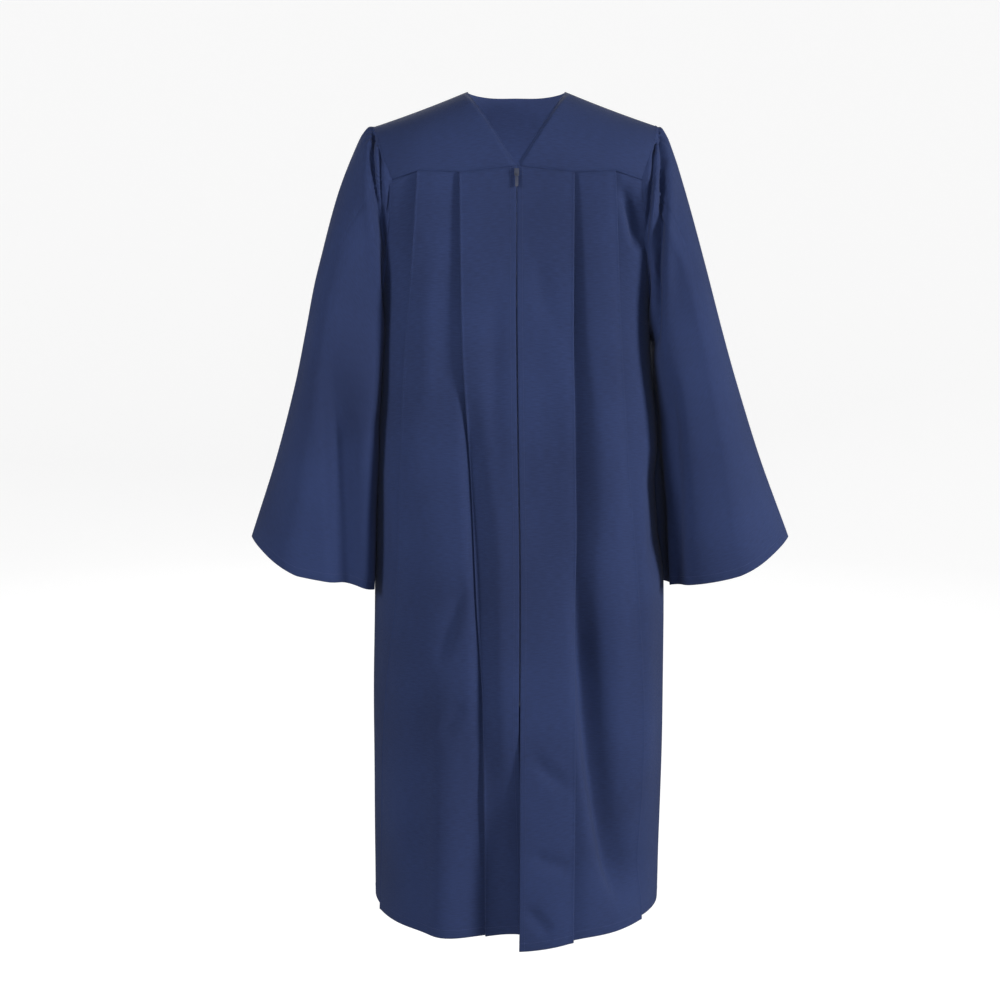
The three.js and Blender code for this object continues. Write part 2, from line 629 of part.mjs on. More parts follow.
// A strip behind the front edges, made from the fronts' own points set in by half its depth
function zipStrip(reaches, thick, top, bottom) {
  const inset = WALL / 2 + 2 * SEAM + thick / 2;
  const grid = zipHeights(top, bottom).map((z) => {
    return reaches.map((reach) => {
      const point = edgePoint(reach < 0 ? fronts.right : fronts.left, reach, z);
      return point.setY(point.y + inset);
    });
  });
  return wall(grid, thick);
}

function toManifold(geometry) {
  const bare = geometry.clone();
  bare.deleteAttribute("normal");
  bare.deleteAttribute("uv");
  const merged = mergeVertices(bare, 1e-4);
  return new wasm.Manifold(
    new wasm.Mesh({
      numProp: 3,
      vertProperties: new Float32Array(merged.attributes.position.array),
      triVerts: new Uint32Array(merged.index.array),
    }),
  );
}

function join(geometries) {
  const solid = geometries.map(toManifold).reduce((all, next) => all.add(next));
  const mesh = solid.getMesh();
  const geometry = new THREE.BufferGeometry();
  geometry.setAttribute("position", new THREE.Float32BufferAttribute(mesh.vertProperties, 3));
  geometry.setIndex(Array.from(mesh.triVerts));
  return geometry;
}

// Slider sizes in its own frame: y = 0 is the middle of the cloth, -y is outwards, z = 0 is its top
const SLIDER = {
  width: 7, height: 11, corner: 1.6, plate: 1.4, frontY: -1.1, backY: 4.2,
  backInset: 0.6, neckHalf: 0.5, neckInset: 1.5,
};
const BAIL = {
  width: 1.8, top: -1.5, bottom: -9.5, bar: 1, room: 2.4, corner: 0.39, roomCorner: 0.3, root: 0.4,
};
const TAB = {
  width: 4.6, length: 20, thick: 1.2, corner: 1.2, eyeWidth: 2.8, eyeLength: 3.5, eyeCorner: 0.5, bar: 1.3,
};
const TAB_AXIS = {
  y: SLIDER.frontY - SLIDER.plate - BAIL.room / 2,
  z: BAIL.bottom + BAIL.bar + BAIL.room / 2,
};

function roundedOutline(shape, left, bottom, width, height, radius) {
  shape.moveTo(left + radius, bottom);
  shape.lineTo(left + width - radius, bottom);
  shape.absarc(left + width - radius, bottom + radius, radius, -Math.PI / 2, 0, false);
  shape.lineTo(left + width, bottom + height - radius);
  shape.absarc(left + width - radius, bottom + height - radius, radius, 0, Math.PI / 2, false);
  shape.lineTo(left + radius, bottom + height);
  shape.absarc(left + radius, bottom + height - radius, radius, Math.PI / 2, Math.PI, false);
  shape.lineTo(left, bottom + radius);
  shape.absarc(left + radius, bottom + radius, radius, Math.PI, Math.PI * 1.5, false);
  return shape;
}

// A flat piece in the plane of the cloth, from y outwards to y - depth
function plate(shape, y, depth) {
  const geometry = new THREE.ExtrudeGeometry(shape, { depth, bevelEnabled: false, curveSegments: 4 });
  return geometry.rotateX(Math.PI / 2).translate(0, y, 0);
}

function sliderGeometry() {
  const { width, height, corner, frontY, backY, backInset, neckHalf, neckInset } = SLIDER;
  const outline = (inset) => {
    const [wide, high] = [width - 2 * inset, height - 2 * inset];
    return roundedOutline(new THREE.Shape(), -wide / 2, inset - height, wide, high, corner);
  };
  const neck = new THREE.BoxGeometry(2 * neckHalf, backY - frontY, height - 2 * neckInset);
  neck.translate(0, (backY + frontY) / 2, -height / 2);
  const arch = new THREE.Shape();
  const reach = BAIL.room + BAIL.bar;
  roundedOutline(arch, -BAIL.root, BAIL.bottom, reach + BAIL.root, BAIL.top - BAIL.bottom, BAIL.corner);
  const room = new THREE.Path();
  const clear = BAIL.top - BAIL.bottom - 2 * BAIL.bar;
  roundedOutline(room, 0, BAIL.bottom + BAIL.bar, BAIL.room, clear, BAIL.roomCorner);
  arch.holes.push(room);
  const bail = new THREE.ExtrudeGeometry(arch, { depth: BAIL.width, bevelEnabled: false, curveSegments: 3 });
  bail.translate(0, 0, -BAIL.width / 2).rotateX(Math.PI / 2).rotateZ(-Math.PI / 2);
  bail.translate(0, frontY - SLIDER.plate, 0);
  const face = plate(outline(0), frontY, SLIDER.plate);
  const backing = plate(outline(backInset), backY, SLIDER.plate);
  return join([face, neck, backing, bail]);
}

function tabGeometry() {
  const top = TAB_AXIS.z + TAB.bar / 2;
  const { width, length, corner, eyeWidth, eyeLength, eyeCorner } = TAB;
  const shape = roundedOutline(new THREE.Shape(), -width / 2, top - length, width, length, corner);
  const eye = new THREE.Path();
  const eyeBottom = top - TAB.bar - eyeLength;
  shape.holes.push(roundedOutline(eye, -eyeWidth / 2, eyeBottom, eyeWidth, eyeLength, eyeCorner));
  return plate(shape, TAB_AXIS.y + TAB.thick / 2, TAB.thick);
}

// Assembly

const fronts = { right: front(false), left: front(true) };
const [backRight, backLeft] = back();
const yokes = { right: frontYoke(false), left: frontYoke(true), back: backYoke() };

for (const [hand, piece] of Object.entries(fronts)) {
  const last = piece.grid[0].length - 1;
  const edges = (i) => [[last, piece.normals[i][last]]];
  addPiece(`front_${hand}`, panelGeometry(piece.grid, edges, hand === "left"), cloth);
}

const backGrid = backRight.grid.map((row, i) => [...row.slice(1).reverse(), ...backLeft.grid[i]]);
const backLast = backGrid[0].length - 1;
const backEdges = (i) => [
  [0, backRight.normals[i].at(-1)],
  [backLast, backLeft.normals[i].at(-1)],
];
addPiece("back_panel", panelGeometry(backGrid, backEdges, false), cloth);

addPiece("yoke_front_right", wall(yokes.right.grid, WALL, yokes.right), cloth);
addPiece("yoke_front_left", wall(yokes.left.grid, WALL, yokes.left), cloth);
addPiece("yoke_back", wall(yokes.back.grid, WALL, yokes.back), cloth);

for (const hand of ["right", "left"]) {
  const pieces = {
    frontYoke: yokes[hand],
    backYoke: yokes.back,
    front: fronts[hand],
    back: hand === "right" ? backRight : backLeft,
  };
  addPiece(`sleeve_${hand}`, sleeve(hand === "left", pieces), cloth);
}

const tape = [ZIP.coilHalf + SEAM, ZIP.coilHalf + SEAM + ZIP.tapeWidth];
const tapeRight = tape.map((reach) => -reach).reverse();
const coil = [-ZIP.coilHalf, 0, ZIP.coilHalf];
const coilTop = ZIP.top - SLIDER.height - 1;
const coilBottom = ZIP.bottom + STOP_HEIGHT + SEAM;
addPiece("zip_tape_right", zipStrip(tapeRight, ZIP.tapeThick, ZIP.top, ZIP.bottom), zipCloth);
addPiece("zip_tape_left", zipStrip(tape, ZIP.tapeThick, ZIP.top, ZIP.bottom), zipCloth);
addPiece("zip_coil", zipStrip(coil, ZIP.coilThick, coilTop, coilBottom), zipCloth);
addPiece("zip_bottom_stop", zipStrip(coil, ZIP.coilThick, coilBottom - SEAM, ZIP.bottom), zipMetal);

const slider = new THREE.Group();
const foot = ZIP.top - SLIDER.height;
const [topDepth, footDepth] = [ZIP.top, foot].map((level) => read(BODY, "z", "front", level));
slider.position.set(0, -topDepth, ZIP.top);
slider.rotation.x = -Math.atan((footDepth - topDepth) / SLIDER.height);
addPiece("zip_slider", sliderGeometry(), zipMetal, slider);
addPiece("zip_pull_tab", tabGeometry(), zipMetal, slider);
gown.add(slider);

export default gown;
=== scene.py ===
# %% [markdown]
# # A graduation gown in cloth
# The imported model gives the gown's bodies and its plain solids. This lesson lays real cloth over them:
# thin shells with pleats, gathers, soft folds, turned hems, stitching and a zip. All shapes are worked out
# in millimetres, in the same frame as the solids, and turned into metres when a mesh is made.

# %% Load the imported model
import math

import bmesh
import bpy
import numpy as np
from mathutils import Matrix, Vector


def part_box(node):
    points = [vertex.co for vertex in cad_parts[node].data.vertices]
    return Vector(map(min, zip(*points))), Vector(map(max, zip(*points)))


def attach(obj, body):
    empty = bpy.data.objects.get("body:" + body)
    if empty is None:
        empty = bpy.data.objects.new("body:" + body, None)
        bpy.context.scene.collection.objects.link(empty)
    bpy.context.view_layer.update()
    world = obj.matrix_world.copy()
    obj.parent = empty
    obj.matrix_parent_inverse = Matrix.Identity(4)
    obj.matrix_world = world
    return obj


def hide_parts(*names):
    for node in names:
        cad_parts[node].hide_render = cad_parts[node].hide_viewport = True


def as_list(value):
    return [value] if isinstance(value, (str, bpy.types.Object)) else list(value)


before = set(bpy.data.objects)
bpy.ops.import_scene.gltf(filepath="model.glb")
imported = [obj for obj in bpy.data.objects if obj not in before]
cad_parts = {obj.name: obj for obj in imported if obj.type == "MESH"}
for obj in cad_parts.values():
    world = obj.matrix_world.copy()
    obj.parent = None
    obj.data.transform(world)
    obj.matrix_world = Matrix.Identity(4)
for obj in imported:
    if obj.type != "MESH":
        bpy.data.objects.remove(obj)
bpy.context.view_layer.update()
MM = 0.001

# %% [markdown]
# ## Camera, floor and light
# The gown is seen from the front, from a little above its middle. A pale floor that curves up all round
# keeps every view plain. One large soft light stands on the right, weaker ones on the left, in front and
# behind, and a small lamp inside the chest reaches the inside of the neck. Cloth shows its folds best when
# most of the light comes from one side.

# %% Camera
CAMERA_PLACE = (-0.024, -2.80, -0.178)
CAMERA_TILT = math.radians(8.77)
FOCAL_LENGTH = 66.744
SENSOR_WIDTH = 36.0
VIEW_DEPTH = 100.0


def add_object(name, data):
    """Puts a mesh, a light or a camera into the scene."""
    made = bpy.data.objects.new(name, data)
    bpy.context.scene.collection.objects.link(made)
    return made


camera = add_object("camera", bpy.data.cameras.new("camera"))
camera.data.lens = FOCAL_LENGTH
camera.data.sensor_width = SENSOR_WIDTH
camera.data.clip_end = VIEW_DEPTH
camera.location = CAMERA_PLACE
camera.rotation_euler = (math.pi / 2 - CAMERA_TILT, 0.0, 0.0)
bpy.context.scene.camera = camera
print("camera looks down by", round(math.degrees(CAMERA_TILT), 2), "degrees")


# %% Helpers for materials
def add_node(tree, kind, values=None, **settings):
    """Adds a node; values go to its input sockets, as links where they are sockets."""
    made = tree.nodes.new(kind)
    for name, value in settings.items():
        setattr(made, name, value)
    for name, value in (values or {}).items():
        if isinstance(value, bpy.types.NodeSocket):
            tree.links.new(value, made.inputs[name])
        else:
            made.inputs[name].default_value = value
    return made


def new_material(name, **surface):
    """A material with its Principled surface; surface values are set on the sockets themselves."""
    material = bpy.data.materials.new(name)
    material.use_nodes = True
    shader = material.node_tree.nodes["Principled BSDF"]
    for socket, value in surface.items():
        shader.inputs[socket.replace("_", " ")].default_value = value
    return material, material.node_tree, shader


def math_node(tree, operation, *values):
    """The result of a Math node; values are numbers or sockets."""
    return add_node(tree, "ShaderNodeMath", dict(enumerate(values)), operation=operation).outputs[0]


def noise_node(tree, place, **sizes):
    """The result of a Noise node at a place that a socket gives."""
    return add_node(tree, "ShaderNodeTexNoise", {"Vector": place, **sizes}).outputs["Fac"]


def add_bump(tree, shader, height, strength, distance):
    """Roughens a surface by a height that a socket gives."""
    bump = add_node(tree, "ShaderNodeBump", {"Height": height, "Strength": strength, "Distance": distance})
    tree.links.new(bump.outputs[0], shader.inputs["Normal"])


# %% Floor and light
FLOOR_Z = -1.42
FLOOR_FLAT = 4.0
FLOOR_CURVE = 2.5
WALL_HEIGHT = 7.0
CURVE_STEPS = 12
ROUND_STEPS = 96
FLOOR_GREY = (0.28, 0.28, 0.28, 1)
FLOOR_GLOW = 0.82
WHITE = (1, 1, 1, 1)
SURROUNDINGS = 0.12

profile = [(FLOOR_FLAT, 0.0)]
for step in range(1, CURVE_STEPS + 1):
    angle = math.pi / 2 * step / CURVE_STEPS
    profile.append((FLOOR_FLAT + FLOOR_CURVE * math.sin(angle), FLOOR_CURVE * (1 - math.cos(angle))))
profile.append((FLOOR_FLAT + FLOOR_CURVE, WALL_HEIGHT))
floor_points = []
floor_faces = []
for ring, (reach, height) in enumerate(profile):
    for step in range(ROUND_STEPS):
        angle = 2 * math.pi * step / ROUND_STEPS
        floor_points.append((reach * math.cos(angle), reach * math.sin(angle), FLOOR_Z + height))
        if ring:
            a, b = (ring - 1) * ROUND_STEPS + step, (ring - 1) * ROUND_STEPS + (step + 1) % ROUND_STEPS
            floor_faces.append((a, a + ROUND_STEPS, b + ROUND_STEPS, b))
floor_faces.append(tuple(range(ROUND_STEPS)))
floor_mesh = bpy.data.meshes.new("studio_floor")
floor_mesh.from_pydata(floor_points, [], floor_faces)
floor_mesh.shade_smooth()
studio_floor = add_object("studio_floor", floor_mesh)
pale_floor, floor_tree, floor_shader = new_material(
    "pale_floor", Base_Color=FLOOR_GREY, Roughness=0.9, Emission_Color=WHITE
)
seen_by = add_node(floor_tree, "ShaderNodeLightPath")
glow = math_node(floor_tree, "MULTIPLY", seen_by.outputs["Is Camera Ray"], FLOOR_GLOW)
floor_tree.links.new(glow, floor_shader.inputs["Emission Strength"])
floor_mesh.materials.append(pale_floor)


def soft_light(name, place, aim, size, power):
    """A round area light at a place, turned to what it is aimed at."""
    light = bpy.data.lights.new(name, "AREA")
    light.shape = "DISK"
    light.size = size
    light.energy = power
    lamp = add_object(name, light)
    lamp.location = place
    lamp.rotation_euler = (Vector(aim) - Vector(place)).to_track_quat("-Z", "Y").to_euler()
    return lamp


MIDDLE = (0.0, 0.0, -0.6)
soft_light("key_light", (4.1, -2.0, 0.45), MIDDLE, 1.0, 250)
soft_light("fill_light", (-2.2, -1.7, 0.45), (-0.15, 0.0, -0.3), 0.8, 52)
soft_light("front_light", (0.0, -4.3, 0.1), (0.0, 0.0, -0.4), 0.8, 60)
soft_light("back_light", (-0.6, 3.4, 1.4), MIDDLE, 2.0, 60)
inner_light = soft_light("inner_light", (0.0, -0.045, -0.2), (0.0, 0.09, -0.06), 0.1, 0.5)
inner_light.visible_camera = False

world = bpy.data.worlds.new("studio")
world.use_nodes = True
background = world.node_tree.nodes["Background"].inputs
background["Color"].default_value = WHITE
background["Strength"].default_value = SURROUNDINGS
bpy.context.scene.world = world
bpy.context.scene.view_settings.view_transform = "Standard"
print("floor at", FLOOR_Z, "m, five soft lights")

# %% [markdown]
# ## The cloth's finish
# The gown is a matte navy polyester. Its thread shows as a fine weave, a little uneven in colour, and
# the surface adds a faint neutral sheen on what faces the light, so that lit cloth looks greyer and
# hollows look a purer blue. The weave follows each piece's own UV map, which is measured in metres of cloth.

# %% Cloth material
THREAD_PITCH = 0.0006
SHEEN = {"Sheen_Weight": 0.04, "Sheen_Roughness": 0.5, "Sheen_Tint": (0.75, 0.82, 1.0, 1)}
GLOSS = 0.3
SLUB_SCALE = (90.0, 620.0, 1.0)
UNEVEN = {"From Min": 0.75, "From Max": 1.25}
WEAVE_STRENGTH = 0.3
WEAVE_HEIGHT = 0.0003
NAVY_DARK = (0.0086, 0.0178, 0.065)
NAVY_LIGHT = (0.0140, 0.0278, 0.095)


def woven_material(name, dark, light, pitch, roughness):
    """Matte cloth: crossing threads, thicker places along them, and a broad change from dark to light."""
    material, tree, shader = new_material(name, Roughness=roughness, Specular_IOR_Level=GLOSS, **SHEEN)
    across = add_node(tree, "ShaderNodeUVMap", uv_map="cloth").outputs["UV"]
    split = add_node(tree, "ShaderNodeSeparateXYZ", {"Vector": across})
    turns = [math_node(tree, "MULTIPLY", split.outputs[axis], 2 * math.pi / pitch) for axis in ("X", "Y")]
    weave = math_node(tree, "MULTIPLY", *[math_node(tree, "SINE", turn) for turn in turns])
    stretched = add_node(tree, "ShaderNodeMapping", {"Vector": across, "Scale": SLUB_SCALE})
    slubs = noise_node(tree, stretched.outputs[0], Scale=1.0, Detail=3.0)
    place = add_node(tree, "ShaderNodeTexCoord").outputs["Object"]
    uneven = math_node(tree, "ADD", slubs, noise_node(tree, place, Scale=5.0, Detail=2.0))
    share = add_node(tree, "ShaderNodeMapRange", {"Value": uneven, **UNEVEN}).outputs[0]
    colour = add_node(tree, "ShaderNodeMix", {0: share}, data_type="RGBA")
    colour.inputs[6].default_value = (*dark, 1)
    colour.inputs[7].default_value = (*light, 1)
    tree.links.new(colour.outputs[2], shader.inputs["Base Color"])
    add_bump(tree, shader, math_node(tree, "ADD", weave, slubs), WEAVE_STRENGTH, WEAVE_HEIGHT)
    return material


gown_cloth = woven_material("gown_cloth", NAVY_DARK, NAVY_LIGHT, THREAD_PITCH, 0.85)
print("weave pitch", THREAD_PITCH * 1000, "mm")

# %% [markdown]
# ## The gown's form
# A garment's form is a stack of sections. The table gives, for some heights, the half width, the depth to
# front and back, the squareness of the rounded outline, and how far the skirt swings to one side. A smooth
# reading of the table gives a section at any height.


# %% Tables and their reading
def table(columns, *rows):
    """Rows of numbers with named columns."""
    return dict(zip(columns.split(), np.array(rows, float).T))


def read(rows, by, column, at):
    """Smooth reading of one column along another one."""
    order = np.argsort(rows[by])
    keys, values = rows[by][order], rows[column][order]
    first, last = np.r_[0, np.arange(len(keys) - 1)], np.r_[np.arange(1, len(keys)), len(keys) - 1]
    slopes = (values[last] - values[first]) / (keys[last] - keys[first])
    at = np.asarray(at, float)
    i = np.clip(np.searchsorted(keys, at) - 1, 0, len(keys) - 2)
    span = keys[i + 1] - keys[i]
    t = np.clip((at - keys[i]) / span, 0, 1)
    bend = slopes[i] * (1 - t) - slopes[i + 1] * t
    return values[i] + (values[i + 1] - values[i]) * t * t * (3 - 2 * t) + span * t * (1 - t) * bend


def smooth(value, low, high):
    t = np.clip((np.asarray(value, float) - low) / (high - low), 0, 1)
    return t * t * (3 - 2 * t)


def lerp(a, b, share):
    return a + (b - a) * share


BODY = table(
    "z half front back square swing",
    (-105, 231, 95, 100, 3.3, 0),
    (-200, 212, 108, 114, 3.0, 0),
    (-330, 200, 124, 121, 2.7, 0),
    (-500, 211, 143, 131, 2.4, 2),
    (-700, 220, 163, 151, 2.3, 5),
    (-950, 223, 183, 174, 2.25, 4),
    (-1250, 221, 200, 196, 2.2, 1),
)


def body(column, z):
    """Smooth reading of the body's table at height z."""
    return read(BODY, "z", column, z)


def swing(z):
    """How far the skirt hangs to one side."""
    return body("swing", z)


FRONT, BACK = -1, 1
DEPTH_COLUMN = {FRONT: "front", BACK: "back"}


# %% Sections as lookup grids
LEVEL_STEP = 4.0
LEVELS = np.arange(-1300.0, -60.0, LEVEL_STEP)
LAST_LEVEL = len(LEVELS) - 1.001
SHARES = np.linspace(0, 1, 361)
QUARTER = np.linspace(0, np.pi / 2, 721)


def section_grid(facing):
    """Outline of one quarter of the body at every level, by share of its length from middle to side."""
    power = 2 / body("square", LEVELS)[:, None]
    x = body("half", LEVELS)[:, None] * np.sin(QUARTER) ** power
    y = facing * body(DEPTH_COLUMN[facing], LEVELS)[:, None] * np.cos(QUARTER).clip(0) ** power
    y[:, -1] = 0
    length = np.cumsum(np.hypot(np.diff(x, prepend=0), np.diff(y, prepend=y[:, :1])), axis=1)
    total = length[:, -1]
    grid = {"total": total}
    for name, values in (("x", x), ("y", y)):
        grid[name] = np.array([np.interp(SHARES * t, l, v) for t, l, v in zip(total, length, values)])
    across, along = np.gradient(grid["x"], axis=1), np.gradient(grid["y"], axis=1)
    norm = np.hypot(across, along)
    grid["nx"], grid["ny"] = -facing * along / norm, facing * across / norm
    return grid


SECTIONS = {facing: section_grid(facing) for facing in (FRONT, BACK)}


def level_at(z):
    """The level below a height, and the share of the way to the next one."""
    row = np.clip((z - LEVELS[0]) / LEVEL_STEP, 0, LAST_LEVEL)
    i = row.astype(int)
    return i, row - i


def on_body(length, z, facing):
    """Point and outward normal at a length from the middle along the section at height z."""
    grid = SECTIONS[facing]
    i, f = level_at(z)
    total = lerp(grid["total"][i], grid["total"][i + 1], f)
    column = np.clip(np.abs(length) / total, 0, 1) * (len(SHARES) - 1)
    k = np.minimum(column.astype(int), len(SHARES) - 2)
    g = column - k
    found = {}
    for name in ("x", "y", "nx", "ny"):
        a = grid[name]
        found[name] = lerp(lerp(a[i, k], a[i + 1, k], f), lerp(a[i, k + 1], a[i + 1, k + 1], f), g)
    way = np.where(length < 0, -1, 1)
    return found["x"] * way, found["y"], found["nx"] * way, found["ny"]


def outline_y(x, z, facing):
    """Depth of the section at height z where it is x from the middle."""
    square = body("square", z)
    share = np.clip(np.abs(x) / body("half", z), 0, 1)
    return facing * body(DEPTH_COLUMN[facing], z) * (1 - share**square) ** (1 / square)


def outline_x(y, z, facing):
    """Half width of the section at height z where it is y deep."""
    square = body("square", z)
    share = np.clip(np.abs(y) / body(DEPTH_COLUMN[facing], z), 0, 1)
    return body("half", z) * (1 - share**square) ** (1 / square)


def section_length(z, facing):
    """Length of a quarter section at height z, from the middle to the side."""
    return np.interp(z, LEVELS, SECTIONS[facing]["total"])


def lengths_at(reach, heights, facing):
    """Lengths along the sections at some heights, up to a reach from the middle."""
    lines = SECTIONS[facing]["x"]
    found = []
    for x, z, i, f in zip(reach, heights, *level_at(heights)):
        line = lerp(lines[i], lines[i + 1], f)
        found.append(np.interp(x, line, SHARES * section_length(z, facing)))
    return np.array(found)


print("sections at", len(LEVELS), "levels")

# %% [markdown]
# ## From a grid of points to cloth
# Each piece is first a grid of points, the middle of the cloth. A turned edge doubles the first or last
# stretch back on the wrong side, round a small radius, as a sewer's iron does. Then both faces are set half
# a thickness away from the middle, and rims close the shell, so that the mesh is a thin solid.

# %% Cloth shells
CLOTH_THICK = 0.5
TURN_RADIUS = 0.55
TURN_STEPS = np.radians((40, 80, 120, 160))
SHARP_ANGLE = math.radians(60)
TINY = 1e-9


def unit(vectors):
    """Vectors brought to length 1."""
    return vectors / np.maximum(np.linalg.norm(vectors, axis=-1, keepdims=True), TINY)


def grid_normals(points, ring=False):
    """Normals of a grid of points, rows first; a ring closes its columns."""
    if ring:
        across = np.roll(points, -1, axis=1) - np.roll(points, 1, axis=1)
    else:
        across = np.gradient(points, axis=1)
    return unit(np.cross(across, np.gradient(points, axis=0)))


def turn_rows(points, normals, count):
    """Folds the last rows of a grid under, to the wrong side; also gives the outward normals."""
    last = normals[-1]
    down = points[-1] - points[-2]
    down = unit(down - (down * last).sum(1, keepdims=True) * last)
    bend = []
    for angle in TURN_STEPS:
        bend.append(points[-1] + TURN_RADIUS * (math.sin(angle) * down - (1 - math.cos(angle)) * last))
    back_rows = slice(-2, -2 - count, -1)
    under = points[back_rows] - 2 * TURN_RADIUS * normals[back_rows]
    longer = np.concatenate([normals, [last] * len(bend), normals[back_rows]])
    return np.concatenate([points, bend, under]), longer


def turn_columns(points, normals, count):
    """Folds the first columns of a grid under, to the wrong side."""
    turned = turn_rows(points.transpose(1, 0, 2)[::-1], normals.transpose(1, 0, 2)[::-1], count)
    return tuple(grid[::-1].transpose(1, 0, 2) for grid in turned)


def cloth_uv(points):
    """Distances across and down the cloth, in metres, as a piece's UV map."""
    steps = np.linalg.norm(np.diff(points, axis=1), axis=2)
    across = np.concatenate([np.zeros((len(points), 1)), np.cumsum(steps, axis=1)], axis=1)
    across = across - across[:, across.shape[1] // 2, None]
    down = np.concatenate([[0], np.cumsum(np.linalg.norm(np.diff(points, axis=0), axis=2).mean(axis=1))])
    return np.stack([across, np.broadcast_to(down[:, None], across.shape)], axis=2) * MM


def quads(rows, columns, ring):
    """Corner indices of the faces of a grid."""
    i, j = np.meshgrid(np.arange(rows - 1), np.arange(columns if ring else columns - 1), indexing="ij")
    near, far, after = i * columns, (i + 1) * columns, (j + 1) % columns
    return np.stack([near + j, near + after, far + after, far + j], 2).reshape(-1, 4)


def make_mesh(name, points, faces, uv, material):
    """A mesh object from arrays in millimetres; uv holds one pair for each point."""
    mesh = bpy.data.meshes.new(name)
    mesh.vertices.add(len(points))
    mesh.vertices.foreach_set("co", (points * MM).astype(np.float32).ravel())
    mesh.loops.add(faces.size)
    mesh.loops.foreach_set("vertex_index", faces.astype(np.int32).ravel())
    mesh.polygons.add(len(faces))
    mesh.polygons.foreach_set("loop_start", np.arange(0, faces.size, faces.shape[1], dtype=np.int32))
    mesh.update(calc_edges=True)
    layer = mesh.uv_layers.new(name="cloth")
    layer.data.foreach_set("uv", uv[faces.ravel()].astype(np.float32).ravel())
    mesh.validate()
    mesh.shade_smooth()
    mesh.set_sharp_from_angle(angle=SHARP_ANGLE)
    mesh.materials.append(material)
    print(name, len(mesh.polygons), "faces")
    return add_object(name, mesh)


def cloth_shell(name, points, ring=False, flip=False, thick=CLOTH_THICK, material=gown_cloth):
    """A closed shell of cloth through a grid of points."""
    rows, columns = points.shape[:2]
    normals = grid_normals(points, ring)
    if flip:
        normals = -normals
    uv = cloth_uv(points).reshape(-1, 2)
    both = np.concatenate([points + normals * thick / 2, points - normals * thick / 2]).reshape(-1, 3)
    count = rows * columns
    outer = quads(rows, columns, ring)
    line = np.arange(columns)
    loops = [line, (rows - 1) * columns + line[::-1]]
    if ring:
        loops = [np.r_[loop, loop[0]] for loop in loops]
    else:
        column = np.arange(rows) * columns
        loops += [column[::-1], column + columns - 1]
    rims = [np.stack([loop[1:], loop[:-1], loop[:-1] + count, loop[1:] + count], 1) for loop in loops]
    faces = np.concatenate([outer, outer[:, ::-1] + count, *rims])
    if flip:
        faces = faces[:, ::-1]
    return make_mesh(name, both, faces, np.concatenate([uv, uv]), material)


# %% [markdown]
# ## Soft folds
# Cloth that hangs free has soft troughs and ridges, uneven in length, depth and spacing. Each row of the
# table places one: the line it follows, seen from the front or back, its width to each side of that
# line, and its depth, which is negative for a ridge. A fold fades in and out at its ends.


# %% Fold relief
def smooth_path(stops, steps=8):
    """A smooth curve through a few points."""
    stops = np.array(stops, float)
    before = np.vstack([2 * stops[0] - stops[1], stops, 2 * stops[-1] - stops[-2]])
    t = np.linspace(0, 1, steps, endpoint=False)[:, None]
    parts = []
    for k in range(len(stops) - 1):
        a, b, c, d = before[k : k + 4]
        parts.append(b + 0.5 * t * (c - a + t * (2 * a - 5 * b + 4 * c - d + t * (3 * (b - c) + d - a))))
    return np.vstack([*parts, stops[-1:]])


def fold_relief(folds, x, z):
    """How far the cloth is pushed in at points (x, z) by a list of folds."""
    depth = np.zeros_like(x)
    for fold in folds:
        path = smooth_path(fold["path"])
        steps = np.linalg.norm(np.diff(path, axis=0), axis=1)
        starts = np.r_[0, np.cumsum(steps)]
        best = np.full(x.shape, np.inf)
        across, along = np.zeros_like(x), np.zeros_like(x)
        for a, b, step, start in zip(path[:-1], path[1:], steps, starts):
            way = (b - a) / step
            t = np.clip((x - a[0]) * way[0] + (z - a[1]) * way[1], 0, step)
            off_x, off_z = x - a[0] - t * way[0], z - a[1] - t * way[1]
            far = np.hypot(off_x, off_z)
            near = far < best
            best = np.where(near, far, best)
            across = np.where(near, np.sign(off_x) * far, across)
            along = np.where(near, start + t, along)
        share = along / starts[-1]
        left, right = fold["wide"]
        shape = np.exp(-((across / np.where(across < 0, left, right)) ** 2))
        top, foot = fold["fade"]
        ends = smooth(share, 0, top) * (1 - smooth(share, 1 - foot, 1)) if foot else smooth(share, 0, top)
        depth += fold["deep"] * shape * ends
    return depth


def fold(path, wide, deep, fade=(0.35, 0.35)):
    """One row of a fold table; a single width counts for both sides."""
    both = wide if isinstance(wide, tuple) else (wide, wide)
    return {"path": path, "wide": both, "deep": deep, "fade": fade}


RIPPLE_WAVES = 6
RIPPLE_ACROSS = (45, 110)
RIPPLE_DOWN = (160, 420)
RIPPLE_HEIGHT = (0.08, 0.22)


def ripple(x, z, seed):
    """The slight unevenness of all hanging cloth: a few broad waves with fixed phases."""
    total = np.zeros_like(x)
    draw = np.random.default_rng(seed)
    for _ in range(RIPPLE_WAVES):
        wave_x, wave_z = draw.uniform(*RIPPLE_ACROSS), draw.uniform(*RIPPLE_DOWN)
        phase = draw.uniform(0, 2 * np.pi)
        total += np.sin(2 * np.pi * (x / wave_x + z / wave_z) + phase) * draw.uniform(*RIPPLE_HEIGHT)
    return total


# %% [markdown]
# ## Fronts and back
# Each front has two knife pleats whose folds face the side; the back has two on each half. Across one row
# the cloth runs to a fold, turns under by the underlay, turns again and goes on to the next. The rows follow
# the armhole down to the underarm, then the side seam to the hem. Below the zip the left front laps over
# the right one.

